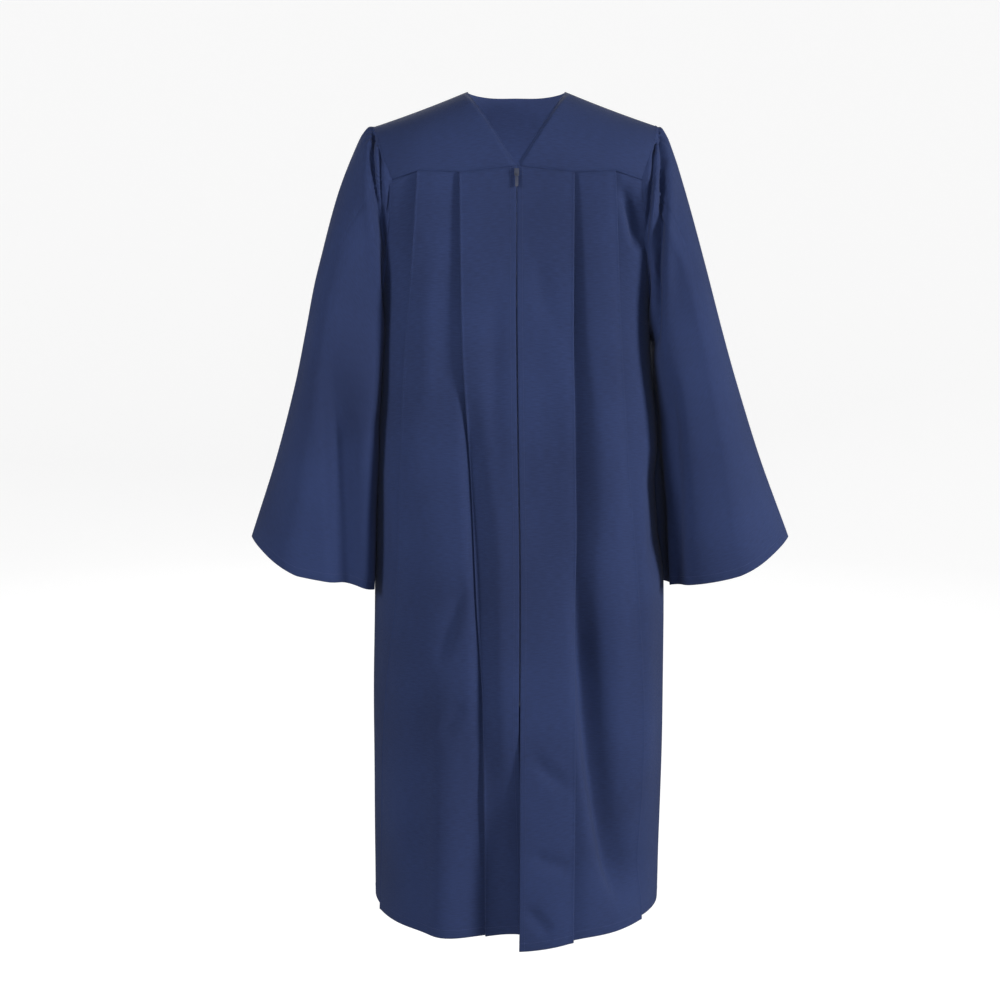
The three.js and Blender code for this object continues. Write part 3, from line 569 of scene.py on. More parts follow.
# %% Panel sizes
SIDE = {"right": -1, "left": 1}
SEEDS = {"right": 12, "left": 11, "back": 21}
UNDERLAY = 28.0
EDGE_HALF_GAP = 1.7
FRONT_CORNER = {"y": 80.0, "z": -129.0}
BACK_CORNER = {"y": 85.0, "z": -150.0}
UNDERARM_Z = -330.0
HEM_SIDE_Z = -1231.0
HEM_FRONT_DROP = 11.0
VENT = {"rise": 5.0, "drop": 10.0, "edge": 4.0, "lap": 6.0, "forward": 2.4, "setback": 26.0, "length": 330.0}
SETBACK_FADE = (20.0, 130.0)
VENT_REACH = {"left": 110.0, "right": 60.0}
ZIP_BOTTOM = -887.0
ZIP_HOLD = (5.0, 40.0)
RIPPLE_START = (120, 320)
SEAM_GAP = 0.3
SIDE_GAP = 0.4
SIDE_GAP_POWER = 8
SEAM_GROOVE = 2.3
SEAM_ROLL = 2.0
SEAM_ALLOWANCE = 5.0
SEAM_TUCK = 0.2
SEAM_ROWS = np.array([1.2, 2.6])
SIDE_TUCK = 1.3
SIDE_TUCK_BLEND = 20.0
SIDE_STEP = 0.3
SIDE_BLEND = 80.0
UNDERARM_BLEND = (270.0, 345.0)
FRONT_SEAM = table("x z", (0, -109), (83, -118), (142, -116), (181, -129), (240, -149))
PLEATS = table(
    "z rightInner rightOuter leftInner leftOuter backInner backOuter",
    (-109, 83, 142, 83, 142, 62, 124),
    (-360, 79, 158, 82, 151, 66, 137),
    (-580, 71, 170, 81, 163, 70, 150),
    (-740, 65, 183, 81, 172, 73, 158),
    (-900, 56, 200, 82, 180, 76, 164),
    (-1250, 51, 208, 83, 188, 80, 172),
)
PLEAT_OPEN = table(
    "z rightInner rightOuter leftInner leftOuter backInner backOuter",
    (-109, 0, 0, 0, 0, 0, 0),
    (-180, 2, 3, 5, 3, 2, 2),
    (-300, 3, 4, 13, 4, 4, 4),
    (-420, 2, 4, 20, 4, 6, 5),
    (-600, 1, 3, 24, 4, 7, 6),
    (-760, 1, 2, 20, 3, 7, 6),
    (-950, 1, 2, 7, 2, 6, 5),
    (-1250, 1, 2, 3, 2, 5, 5),
)
PLEAT_LIFT = table("z lift", (-109, 1.4), (-160, 2.0), (-300, 2.5), (-600, 2.6), (-1250, 2.6))


def front_seam_z(x):
    return np.interp(np.abs(x), FRONT_SEAM["x"], FRONT_SEAM["z"])


def front_hem_z(x, hand):
    level = HEM_SIDE_Z - HEM_FRONT_DROP * (1 - (x / BODY["half"][-1]) ** 2)
    reach = 1 - smooth(x, 0, VENT_REACH[hand])
    return level + (-VENT["drop"] if hand == "left" else VENT["rise"]) * reach


def vent_share(z):
    return smooth(ZIP_BOTTOM - z, 0, VENT["length"])


# %% Pleated rows
TURN_ANGLES = np.radians((30, 60, 90, 120, 150, 180))
LIP_STOPS = (4.0, 2.4, 1.2, 0.4)
LIP_HEIGHT = 0.8
LIP_WIDTH = 1.8
LIP_FADE = 0.6
RISE_REACH = 75.0
RISE_POWER = 1.4


def rise_evenly(share, span):
    return smooth(share, 0, 1)


def rise_early(share, span):
    """Cloth that comes out from behind a fold rises most just beside it."""
    return 1 - np.maximum(1 - share * span / np.minimum(span, RISE_REACH), 0) ** RISE_POWER


def pleated_line(start, end, folds, opened, lift, fine):
    """Lengths and offsets of the cloth across a half panel, one column of arrays at a time.
    A pleat that is opened has its lower layers pushed back behind the fold."""
    half = lift / 2
    columns = [(start, np.zeros_like(start))]

    def strip(to, offset, count, ease=rise_evenly):
        length, begin = columns[-1]
        for share in np.linspace(0, 1, count + 1)[1:]:
            columns.append((lerp(length, to, share), lerp(begin, offset, ease(share, to - length))))

    def pressed_edge(edge):
        for before in LIP_STOPS:
            columns.append((edge - half - before, lift + LIP_HEIGHT * math.exp(-((before / LIP_WIDTH) ** 2))))

    def turn(length, offset, way, rise=0.0):
        for angle in TURN_ANGLES:
            columns.append((length + way * half * math.sin(angle), offset + half * math.cos(angle) + rise))
            rise *= LIP_FADE

    first, hidden, between, last = fine
    for number, (edge, gap) in enumerate(zip(folds, opened)):
        count, ease = (between, rise_early) if number else (first, rise_evenly)
        strip(edge - half - 2 * LIP_STOPS[0], lift, count, ease)
        pressed_edge(edge)
        turn(edge - half, half, 1, LIP_HEIGHT)
        strip(edge - UNDERLAY + half, -gap, hidden)
        turn(edge - UNDERLAY + half, -gap - half, -1)
        strip(edge, -gap - lift, hidden)
    strip(end, np.zeros_like(end), last, rise_early)
    return np.stack([c[0] for c in columns], 1), np.stack([c[1] for c in columns], 1)


# %% Half panels
side_seams = {}


def join_at_side(side, facing, z, soft, away):
    """The back takes over the fronts' own swell at the side seams, so that the two edges meet."""
    if facing == FRONT:
        side_seams[side] = (z[:, -1], soft[:, -1])
        return soft
    heights, push = side_seams[side]
    change = (np.interp(-z[:, -1], -heights, push) - soft[:, -1]) * smooth(-z[:, -1], *UNDERARM_BLEND)
    return soft + change[:, None] * (1 - smooth(away, 0, SIDE_BLEND))


def panel_levels(corner, armhole_rows, skirt_rows):
    """Heights of a panel's rows at its outer edge, closer together at the seam and the underarm."""
    turn = np.linspace(0, np.pi / 2, armhole_rows)
    armhole = lerp(corner["z"], UNDERARM_Z, np.sin(turn))
    skirt = lerp(UNDERARM_Z, HEM_SIDE_Z, np.linspace(0, 1, skirt_rows + 1)[1:])
    return np.sort(np.concatenate([armhole, corner["z"] - SEAM_ROWS, skirt]))[::-1]


def half_panel(side, facing, corner, rows, fold_names, fine, seam, hem, start, setback, folds, seed):
    """Points of half a panel, from the middle to the armhole or side seam, with a tucked row on top."""
    levels = panel_levels(corner, *rows)
    share = (levels - corner["z"]) / (HEM_SIDE_Z - corner["z"])
    down = np.clip((corner["z"] - levels) / (corner["z"] - UNDERARM_Z), 0, 1)
    edge_x = outline_x(corner["y"] * np.sqrt(1 - down**2), levels, facing)
    end = np.where(down < 1, lengths_at(edge_x, levels, facing), section_length(levels, facing))
    end = end - SIDE_GAP * down**SIDE_GAP_POWER
    edges = [lengths_at(read(PLEATS, "z", name, levels), levels, facing) for name in fold_names]
    opened = [read(PLEAT_OPEN, "z", name, levels) for name in fold_names]
    lift = read(PLEAT_LIFT, "z", "lift", levels)
    length, offset = pleated_line(start(levels), end, edges, opened, lift, fine)
    reach = on_body(np.maximum(length, 0), np.broadcast_to(levels[:, None], length.shape), facing)[0]
    z = lerp(seam(reach) - SEAM_GAP, hem(reach), share[:, None])
    x, y, nx, ny = on_body(length, z, facing)
    soft = ripple(side * x, z, seed) * smooth(-z, *RIPPLE_START) - fold_relief(folds, side * x, z)
    free = lerp(smooth(np.abs(x), *ZIP_HOLD), 1, vent_share(z)) if facing == FRONT else 1
    soft = join_at_side(side, facing, z, soft * free, end[:, None] - length)
    sewn = np.exp(-(((seam(reach) - z) / SEAM_ROLL) ** 2))
    moved = setback(levels)[:, None] * (1 - smooth(length, *SETBACK_FADE))
    out = offset * (1 - sewn / 2) + moved + soft - SEAM_GROOVE * sewn
    points = np.stack([side * (x + nx * out) + swing(z), y + ny * out, z], 2)
    up = np.full_like(x[0], SEAM_ALLOWANCE)
    tucked = points[0] + np.stack([-side * nx[0] * SEAM_TUCK, -ny[0] * SEAM_TUCK, up], 1)
    return np.concatenate([[tucked], points])


# %% [markdown]
# ### Folds of the two fronts and the back
# On the right front a soft trough runs in the shade beside the inner pleat. The left front has the longest
# one, from the pleat at hip height out towards the hem, and small slanting creases beside the vent.

# %% Fold tables of the panels
FRONT_RIGHT_FOLDS = [
    fold([(-75, -380), (-72, -460), (-66, -600), (-59, -760), (-53, -1060)], (9, 22), 17, (0.25, 0.3)),
    fold([(-56, -820), (-52, -1020), (-50, -1250)], (36, 40), 9, (0.45, 0)),
    fold([(-118, -180), (-126, -330), (-130, -520)], 15, -4),
    fold([(-76, -690), (-98, -765), (-124, -850)], (14, 11), 6),
    fold([(-80, -876), (-98, -910), (-116, -948)], 10, 4),
    fold([(-112, -900), (-112, -1250)], (40, 30), -5, (0.5, 0)),
    fold([(-176, -260), (-184, -480), (-186, -700)], (20, 40), -8),
    fold([(-150, -640), (-138, -900), (-142, -1250)], (26, 22), 6, (0.5, 0)),
    fold([(-22, -240), (-30, -420), (-26, -640)], 16, 4),
]
FRONT_LEFT_FOLDS = [
    fold([(80, -360), (80, -540), (80, -720)], (26, 5), -6),
    fold([(90, -660), (97, -805), (110, -960), (136, -1110), (164, -1215)], (14, 36), 30, (0.35, 0.15)),
    fold([(184, -560), (189, -880), (190, -1120)], (20, 18), -8),
    fold([(200, -510), (207, -620), (200, -730)], (14, 20), 10),
    fold([(6, -952), (40, -984), (80, -1018)], 12, 4),
    fold([(10, -1102), (50, -1122), (88, -1130)], 12, 3.5),
    fold([(6, -1182), (30, -1206), (54, -1234)], 11, 4),
    fold([(14, -215), (34, -285), (68, -370)], 20, 4),
    fold([(147, -132), (166, -172), (181, -236)], (9, 11), 14),
    fold([(180, -140), (188, -180), (192, -228)], 6, -6),
]
BACK_FOLDS = [
    fold([(112, -420), (118, -820), (122, -1250)], 24, 13, (0.5, 0)),
    fold([(-104, -480), (-116, -880), (-130, -1250)], 26, 14, (0.5, 0)),
    fold([(24, -380), (14, -800), (20, -1250)], 22, 8, (0.4, 0)),
    fold([(-38, -560), (-46, -900), (-40, -1250)], 20, 9, (0.4, 0)),
    fold([(176, -620), (182, -960), (172, -1250)], 24, 8, (0.4, 0)),
    fold([(-178, -480), (-186, -860), (-180, -1250)], 26, 8, (0.4, 0)),
    fold([(60, -700), (84, -760), (104, -830)], 11, 5),
]

# %% Front panels
FRONT_ROWS = (40, 176)
FRONT_FINE = (24, 7, 24, 30)
HEM_ROWS = 3
EDGE_COLUMNS = 3


def front_panel(hand):
    left = hand == "left"
    lap = VENT["edge"] if left else -VENT["edge"] - VENT["lap"]
    return half_panel(
        SIDE[hand],
        FRONT,
        FRONT_CORNER,
        FRONT_ROWS,
        (hand + "Inner", hand + "Outer"),
        FRONT_FINE,
        front_seam_z,
        lambda x: front_hem_z(x, hand),
        lambda z: lerp(EDGE_HALF_GAP, lap, vent_share(z)),
        lambda z: vent_share(z) * (VENT["forward"] if left else -VENT["setback"]),
        FRONT_LEFT_FOLDS if left else FRONT_RIGHT_FOLDS,
        SEEDS[hand],
    )


def tuck_side(points):
    """Adds a turning at the side seam, which lies behind the back's edge."""
    edge = points[:, -1]
    out = unit(edge - points[:, -2])
    inwards = np.sign(edge[:, :1]) * np.array([[-SIDE_TUCK, 0, 0]])
    below = smooth(-edge[:, 2:], -UNDERARM_Z, -UNDERARM_Z + SIDE_TUCK_BLEND)
    turning = edge + lerp(SIDE_STEP * out, SEAM_ALLOWANCE * out + inwards, below)
    return np.concatenate([points, turning[:, None]], axis=1)


fronts = {hand: front_panel(hand) for hand in SIDE}
cloth = {}
for hand, middle in fronts.items():
    points = tuck_side(middle)
    hemmed = turn_rows(points, grid_normals(points) * -SIDE[hand], HEM_ROWS)
    turned = turn_columns(*hemmed, EDGE_COLUMNS)[0]
    cloth[f"front_{hand}"] = cloth_shell(f"cloth_front_{hand}", turned, flip=hand == "left")

# %% Back panel
BACK_ROWS = (30, 128)
BACK_FINE = (18, 6, 20, 26)


def back_half(side):
    return half_panel(
        side,
        BACK,
        BACK_CORNER,
        BACK_ROWS,
        ("backInner", "backOuter"),
        BACK_FINE,
        lambda x: np.full_like(x, BACK_CORNER["z"]),
        lambda x: np.full_like(x, HEM_SIDE_Z),
        np.zeros_like,
        np.zeros_like,
        BACK_FOLDS,
        SEEDS["back"],
    )


back = np.concatenate([back_half(-1)[:, :0:-1], back_half(1)], axis=1)
cloth["back"] = cloth_shell("cloth_back", turn_rows(back, grid_normals(back), HEM_ROWS)[0])

# %% [markdown]
# ## Yokes
# The yoke is the smooth piece over the shoulders that the pleats hang from. Seen from the side it curves from
# the shoulder line down to its seam like a quarter of an oval. The front yokes leave the V of the neck
# open, and the back yoke has a low rounded neckline, whose inside shows above the V.

# %% Yoke shapes
TIP = {"x": 208.0, "drop": 50.0}
NECK_HALF = 72.5
NECK_BACK_DEPTH = 65.0
NECK_SQUARE = 2.7
NECK_RISE = 15.0
SHOULDER_HOLLOW = 6.0
BACK_FULLNESS = 0.8
SHOULDER_GAP = 0.4
RIGHT_ANGLE = np.pi / 2
CLOSE_TURNS = np.radians((1.0, 0.45))


def shoulder_z(x):
    """Height of the shoulder line, which rises a little inside the neck."""
    s = (np.abs(x) - NECK_HALF) / (TIP["x"] - NECK_HALF)
    inside = NECK_RISE * (1 - (x / NECK_HALF) ** 2)
    return np.where(s < 0, inside, -s * (TIP["drop"] + SHOULDER_HOLLOW * (1 - s)))


def yoke_point(x, turn, facing):
    """A point of a yoke: turn goes from 0 at the shoulder line to a right angle at the seam."""
    power = 1.0 if facing == FRONT else BACK_FULLNESS
    seam = front_seam_z(x) if facing == FRONT else np.full_like(x, BACK_CORNER["z"])
    cosine = np.cos(turn).clip(0) ** power
    y = outline_y(x, seam, facing) * np.sin(turn) ** power
    y = np.where(np.abs(y) < SHOULDER_GAP, facing * SHOULDER_GAP, y)
    return np.stack([x, y, lerp(shoulder_z(x), seam, 1 - cosine)], -1)


def yoke_turns(count):
    """Turns for the rows of a yoke, with close rows at its seam."""
    return np.r_[np.linspace(0, RIGHT_ANGLE, count)[:-1], RIGHT_ANGLE - CLOSE_TURNS, RIGHT_ANGLE]


# %% Front yokes
YOKE_ROWS = 60
YOKE_COLUMNS = 80
COLUMN_EASE = 1.5
NECK_COLUMNS = 12
NECK_ROLL = 5.0
NECK_ROLL_WIDE = 4.0
NECK_ROLL_START = 0.2
SEAM_DIP = 0.9


def dip_at_seam(points, normals):
    """Rolls the last rows in, where a seam pulls the cloth down."""
    away = np.linalg.norm(points - points[-1:], axis=2, keepdims=True)
    return points - normals * SEAM_DIP * np.exp(-((away / SEAM_ROLL) ** 2))


def roll_at_neck(points, normals):
    """Rolls the neck edge in, as a turned edge of thick cloth does."""
    away = np.linalg.norm(points - points[:, :1], axis=2, keepdims=True)
    below = smooth(np.linspace(0, 1, len(points)), 0, NECK_ROLL_START)[:, None, None]
    return points - normals * NECK_ROLL * below * np.exp(-((away / NECK_ROLL_WIDE) ** 2))


def front_yoke(side):
    turn = yoke_turns(YOKE_ROWS)[:, None]
    fall = 1 - np.cos(turn)
    neck = np.maximum(NECK_HALF * (1 - fall), EDGE_HALF_GAP)
    edge = lerp(TIP["x"], outline_x(FRONT_CORNER["y"], FRONT_CORNER["z"], FRONT), fall)
    x = lerp(neck, edge, np.linspace(0, 1, YOKE_COLUMNS)[None, :] ** COLUMN_EASE)
    return yoke_point(side * x, np.broadcast_to(turn, x.shape), FRONT)


yokes = {hand: front_yoke(side) for hand, side in SIDE.items()}
for hand, points in yokes.items():
    normals = grid_normals(points) * -SIDE[hand]
    rolled = roll_at_neck(dip_at_seam(points, normals), normals)
    turned = turn_columns(rolled, grid_normals(rolled) * -SIDE[hand], NECK_COLUMNS)[0]
    cloth[f"yoke_{hand}"] = cloth_shell(f"cloth_yoke_{hand}", turned, flip=hand == "left")

# %% Back yoke
NECK_STOPS = 30
SHOULDER_STOPS = 34
BACK_YOKE_ROWS = 44


def back_yoke():
    neck = NECK_HALF / TIP["x"]
    turn = np.linspace(0, RIGHT_ANGLE, NECK_STOPS)
    inside = neck * np.sin(turn) ** (2 / NECK_SQUARE)
    half = np.r_[inside, np.linspace(neck, 1, SHOULDER_STOPS)[1:]]
    share = np.r_[-half[:0:-1], half][None, :]
    opened = np.maximum(1 - np.abs(share / neck) ** NECK_SQUARE, 0) ** (1 / NECK_SQUARE)
    depth = outline_y(share * TIP["x"], np.full_like(share, BACK_CORNER["z"]), BACK)
    first = np.arcsin((NECK_BACK_DEPTH * opened / depth) ** (1 / BACK_FULLNESS))
    full = lerp(first, RIGHT_ANGLE, (yoke_turns(BACK_YOKE_ROWS) / RIGHT_ANGLE)[:, None])
    fall = 1 - np.cos(full).clip(0) ** BACK_FULLNESS
    corner = outline_x(BACK_CORNER["y"], BACK_CORNER["z"], BACK)
    return yoke_point(share * lerp(TIP["x"], corner, fall), full, BACK)


yokes["back"] = back_yoke()
normals = grid_normals(yokes["back"])
rolled = dip_at_seam(yokes["back"], normals)
turned = turn_rows(rolled[::-1], normals[::-1], NECK_COLUMNS)[0][::-1]
cloth["yoke_back"] = cloth_shell("cloth_yoke_back", turned)

# %% [markdown]
# ## Sleeves
# A bell sleeve starts at the armhole and widens towards a slanting cuff. Its rings are ovals, pulled to the
# armhole's own line at the top. The head is gathered: small uneven puckers start at the seam and fade out,
# some short and some running far down the arm. Longer creases follow lines seen from the front or the back.

# %% Sleeve tables
SLEEVE = table(
    "v outZ outRight outLeft inX inY inZ front back turn",
    (0, -50, 208, 208, 200, 0, -330, -80, 85, 0),
    (0.05, -52, 222, 218, 204, 6, -332, -83, 92, 4),
    (0.12, -80, 239, 232, 206, 24, -352, -90, 102, 10),
    (0.24, -143, 265, 254, 205, 48, -402, -96, 114, 20),
    (0.38, -246, 293, 281, 203, 68, -470, -100, 124, 30),
    (0.52, -336, 311, 305, 203, 80, -536, -101, 130, 34),
    (0.66, -426, 330, 331, 204, 88, -600, -101, 136, 34),
    (0.83, -545, 362, 369, 206, 95, -680, -101, 140, 28),
    (1, -666, 402, 415, 208, 101, -750, -101, 142, 22),
)
SLEEVE_PINCH = 0.4
CUFF_LIFT = 10.0
ARMHOLE_FADE = 0.4
GATHERS = {
    "right": table(
        "s wide deep reach",
        (4, 3.5, 3.0, 0.16),
        (14, 3, 2.6, 0.09),
        (24, 3, 3.2, 0.12),
        (34, 3, 2.4, 0.08),
        (45, 3.5, 2.4, 0.10),
        (60, 4, 1.8, 0.08),
        (-10, 4, 2.8, 0.16),
        (-24, 5, 3.0, 0.24),
        (-41, 4, 2.2, 0.12),
        (-60, 6, 3.0, 0.28),
        (-84, 5, 2.2, 0.14),
        (-108, 6, 2.6, 0.22),
        (-141, 7, 2.4, 0.16),
    ),
    "left": table(
        "s wide deep reach",
        (2, 3.5, 3.0, 0.18),
        (11, 3, 2.8, 0.10),
        (20, 3, 3.4, 0.13),
        (29, 3, 3.0, 0.09),
        (38, 3, 3.4, 0.12),
        (47, 3, 2.8, 0.09),
        (57, 3, 2.6, 0.08),
        (70, 4, 2.0, 0.08),
        (-10, 4, 2.8, 0.16),
        (-26, 5, 3.0, 0.22),
        (-45, 4, 2.2, 0.12),
        (-66, 6, 3.0, 0.26),
        (-92, 5, 2.2, 0.14),
        (-122, 7, 2.6, 0.22),
        (-160, 7, 2.2, 0.14),
    ),
}
SLEEVE_FRONT_FOLDS = {
    "right": [
        fold(
            [(-204, -54), (-210, -85), (-206, -121), (-200, -160), (-190, -235), (-187, -302), (-188, -370)],
            (4, 3.5), 9, (0.04, 0.2),
        ),
        fold([(-196, -72), (-197, -121), (-193, -171), (-189, -225)], (3, 3), 6, (0.05, 0.3)),
        fold([(-181, -132), (-185, -158), (-188, -190)], (2.5, 2.5), 4, (0.1, 0.4)),
        fold([(-203, -90), (-201, -130), (-196, -190)], 3.5, -3),
        fold([(-219, -80), (-217, -140), (-206, -230), (-201, -330)], (9, 6), -4),
        fold([(-266, -370), (-264, -450), (-260, -600), (-254, -740)], (14, 32), 22, (0.4, 0.0)),
    ],
    "left": [
        fold(
            [(209, -56), (215, -92), (211, -135), (207, -208), (205, -280), (202, -400)],
            (4.5, 5.5), 11, (0.04, 0.2),
        ),
        fold([(200, -70), (197, -110), (193, -157), (189, -215)], (3, 3), 6, (0.05, 0.3)),
        fold([(203, -110), (198, -190), (195, -300)], (4, 4), -6, (0.2, 0.3)),
        fold([(222, -80), (222, -140), (220, -230), (222, -330)], (5, 9), -4),
        fold([(216, -370), (228, -470), (236, -580), (238, -740)], (14, 12), 9, (0.3, 0.0)),
    ],
}
SLEEVE_BACK_FOLDS = {
    "right": [
        fold([(-222, -120), (-228, -240), (-236, -380)], 9, 6),
        fold([(-252, -300), (-258, -480), (-252, -700)], 18, 10, (0.4, 0.1)),
        fold([(-300, -360), (-322, -520), (-346, -680)], 18, 6, (0.4, 0)),
    ],
    "left": [
        fold([(220, -110), (230, -250), (244, -390)], 9, 6),
        fold([(250, -340), (262, -520), (262, -710)], 18, 10, (0.4, 0.1)),
        fold([(296, -320), (320, -480), (352, -680)], 18, 7, (0.4, 0)),
    ],
}


# %% Sleeve rings
SLEEVE_COLUMNS = 380
SLEEVE_ROWS = 104
ROW_EASE = 1.5
TOP_ROWS = 1 + len(SEAM_ROWS)
SLEEVE_CORNER = {"right": (12.0, 12.0), "left": (5.0, 3.2)}
INNER_REACH = {"right": 22.0, "left": 12.0}
INNER_START = (0.02, 0.2)
INNER_TURN = 0.4
INNER_TURN_BLEND = (0, 0.8)
CUFF_REACH = {"right": 8.0, "left": 22.0}
CUFF_START = (0.7, 1)
CUFF_INNER_LIFT = {"right": 17.0, "left": 9.0}
CUFF_LIFT_START = (0.5, 1)


def running_length(line):
    """Lengths along a line of points, from its first one."""
    return np.r_[0, np.cumsum(np.linalg.norm(np.diff(line, axis=0), axis=1))]


def points_at(at, length, line):
    """Points of a line at given lengths along it."""
    return np.stack([np.interp(at, length, line[:, k]) for k in range(3)], -1)


def armhole_loop(hand):
    """The armhole's edge, evenly spaced from the shoulder tip over the front; also lengths from the tip."""
    last = -1 if hand == "left" else 0
    front = np.vstack([yokes[hand][:, -1], fronts[hand][2 : FRONT_ROWS[0] + TOP_ROWS, -1]])
    rear = np.vstack([yokes["back"][:, last], back[2 : BACK_ROWS[0] + TOP_ROWS, last]])
    loop = np.vstack([front, rear[::-1][1:], front[:1]])
    length = running_length(loop)
    at = np.linspace(0, length[-1], SLEEVE_COLUMNS, endpoint=False)
    under = length[len(front) - 1]
    return points_at(at, length, loop), np.where(at <= under, at, at - length[-1])


def sleeve_oval(v, angle, hand):
    """Points of the sleeve before its head is drawn to the armhole; v goes from 0 there to 1 at the cuff."""
    at = {name: read(SLEEVE, "v", name, v) for name in SLEEVE}
    span = at["outLeft" if hand == "left" else "outRight"] - at["inX"]
    half = (span**2 - at["turn"] ** 2) / (2 * span)
    centre_x, centre_y = at["inX"] + half, at["inY"] / 2
    centre_z, rise = (at["outZ"] + at["inZ"]) / 2, (at["outZ"] - at["inZ"]) / 2
    sine, cosine = np.sin(angle), np.cos(angle)
    outwards, inwards = v * cosine.clip(0) ** 2, (-cosine).clip(0)
    corner = inwards ** lerp(*SLEEVE_CORNER[hand], v)
    pinched = 1 - SLEEVE_PINCH * outwards
    front_y = at["front"] * np.where(cosine > 0, sine, np.sqrt(1 - corner)) * pinched + at["inY"] * corner
    back_y = centre_y - centre_y * cosine + (centre_y - at["back"]) * sine * pinched
    turn = at["turn"] * lerp(1, np.where(sine > 0, INNER_TURN, 1), smooth(inwards, *INNER_TURN_BLEND))
    x = centre_x + half * cosine + turn * sine
    reach = INNER_REACH[hand] * smooth(v, *INNER_START) + CUFF_REACH[hand] * smooth(v, *CUFF_START)
    x = x - reach * inwards**2 * np.sqrt(sine.clip(0))
    y = np.where(angle > 0, front_y, back_y)
    z = centre_z + rise * cosine + 2 * CUFF_LIFT * outwards * np.abs(sine)
    z = z + CUFF_INNER_LIFT[hand] * smooth(v, *CUFF_LIFT_START) * inwards * np.sqrt(sine.clip(0))
    return np.stack(np.broadcast_arrays(x, y, z), -1)


# %% Gathers and clearance
GATHER_DEPTH = 1.3
GATHER_SPREAD = 0.4
GATHER_FULL = 0.15
GATHER_START = (-0.004, 0.012)
BODY_CLEAR = 5.0
CLEAR_START = (0.05, 0.2)
HEAD_FREE = 30.0
SOFTEN = 2.5


def gather_relief(hand, signed, v):
    """How far the puckers at the head push the cloth in."""
    depth = np.zeros((len(v), len(signed)))
    for s, wide, deep, reach in zip(*GATHERS[hand].values()):
        spread = wide * (1 + GATHER_SPREAD * v / reach)
        fade = 1 - smooth(v, GATHER_FULL * reach, reach)
        shape = np.exp(-(((signed[None, :] - s) / spread) ** 2))
        depth += GATHER_DEPTH * deep * fade * shape * smooth(v, *GATHER_START)
    return depth


def clear_of_body(points, v, side):
    """Distances from the middle that keep a sleeve just outside the body's side, softly."""
    reach, y, z = side * points[..., 0], points[..., 1], points[..., 2]
    beside = np.where(y < 0, outline_x(y, z, FRONT), outline_x(y, z, BACK)) + side * swing(z)
    below = smooth(v, *CLEAR_START)
    limit = beside + BODY_CLEAR * below - HEAD_FREE * (1 - below)
    return limit + SOFTEN * np.logaddexp(0, (reach - limit) / SOFTEN)


# %% Sleeves from the rings
INNER_SWELL = table("z right left", (-140, 0, 0), (-220, 8, 10), (-300, 11, 12), (-380, 8, 8), (-480, 0, 0))
SWELL_TURN = (-0.1, 0.3)
SWELL_START = (0.02, 0.15)
HEAD_SHARE = 0.05
HEAD_OUT = 0.8
HEAD_UP = 0.4
HEAD_TUCK = 0.8
HEAD_GROOVE = 0.7
FRONT_TURN = (-0.1, 0.25)
FOLD_START = 0.012
SLEEVE_RIPPLE = 1.3
SLEEVE_RIPPLE_START = (0.05, 0.3)
SLEEVE_SEED = 31
CUFF_ROWS = 3


def sleeve_form(hand, loop, angle, v):
    """The sleeve without folds, drawn to the armhole and kept clear of the body."""
    side = SIDE[hand]
    points = sleeve_oval(v, angle, hand) * (side, 1, 1)
    start = loop - sleeve_oval(np.zeros((1, 1)), angle, hand)[0] * (side, 1, 1)
    points = points + start[None] * (1 - smooth(v, 0, ARMHOLE_FADE))[..., None]
    swell = read(INNER_SWELL, "z", hand, points[..., 2])
    swell = swell * smooth(-np.cos(angle), *SWELL_TURN) * np.sin(angle).clip(0) ** 0.5
    points[..., 0] -= side * swell * smooth(v, *SWELL_START)
    points[..., 0] = side * clear_of_body(points, v, side)
    near = 1 - smooth(v, 0, HEAD_SHARE)
    points[..., 0] += side * HEAD_OUT * near
    points[..., 2] += HEAD_UP * near * (1 - np.cos(angle))
    return points


def sleeve(hand):
    """Points of a sleeve with its folds and gathers, and a tucked ring behind the armhole's edge."""
    side = SIDE[hand]
    loop, signed = armhole_loop(hand)
    tip_z = shoulder_z(TIP["x"])
    middle = (tip_z + UNDERARM_Z) / 2
    angle = np.arccos(np.clip((loop[:, 2] - middle) / (tip_z - middle), -1, 1))
    angle = np.where(signed >= 0, angle, -angle)[None, :]
    v = np.linspace(0, 1, SLEEVE_ROWS)[:, None] ** ROW_EASE
    points = sleeve_form(hand, loop, angle, v)
    normals = grid_normals(points, ring=True) * side
    x, y, z = points[..., 0], points[..., 1], points[..., 2]
    facing = smooth(np.sin(angle), *FRONT_TURN)
    relief = fold_relief(SLEEVE_FRONT_FOLDS[hand], x, z) * facing
    relief += fold_relief(SLEEVE_BACK_FOLDS[hand], x, z) * (1 - facing)
    relief = relief * smooth(v, 0, FOLD_START) + gather_relief(hand, signed, v)
    relief += ripple(y * SLEEVE_RIPPLE, z, SLEEVE_SEED + side) * smooth(v, *SLEEVE_RIPPLE_START)
    points = points - normals * relief[..., None]
    out = unit(points[1] - points[0])
    tucked = points[0] - HEAD_TUCK * SEAM_ALLOWANCE * out - HEAD_GROOVE * SEAM_GROOVE * normals[0]
    return np.concatenate([tucked[None], points])


sleeves = {hand: sleeve(hand) for hand in SIDE}
for hand, points in sleeves.items():
    turned = turn_rows(points, grid_normals(points, ring=True) * SIDE[hand], CUFF_ROWS)[0]
    cloth[f"sleeve_{hand}"] = cloth_shell(f"cloth_sleeve_{hand}", turned, ring=True, flip=hand == "right")

# %% [markdown]
# ## Zip
# A nylon coil zip is sewn behind the two front edges, so that only a narrow dark line of its coil shows. Two
# woven tapes lie flat behind the cloth. The coil's turns repeat hundreds of times, so Geometry Nodes sets
# them along a line. The slider, the stop and the pull tab start from the solids, with their edges rounded.

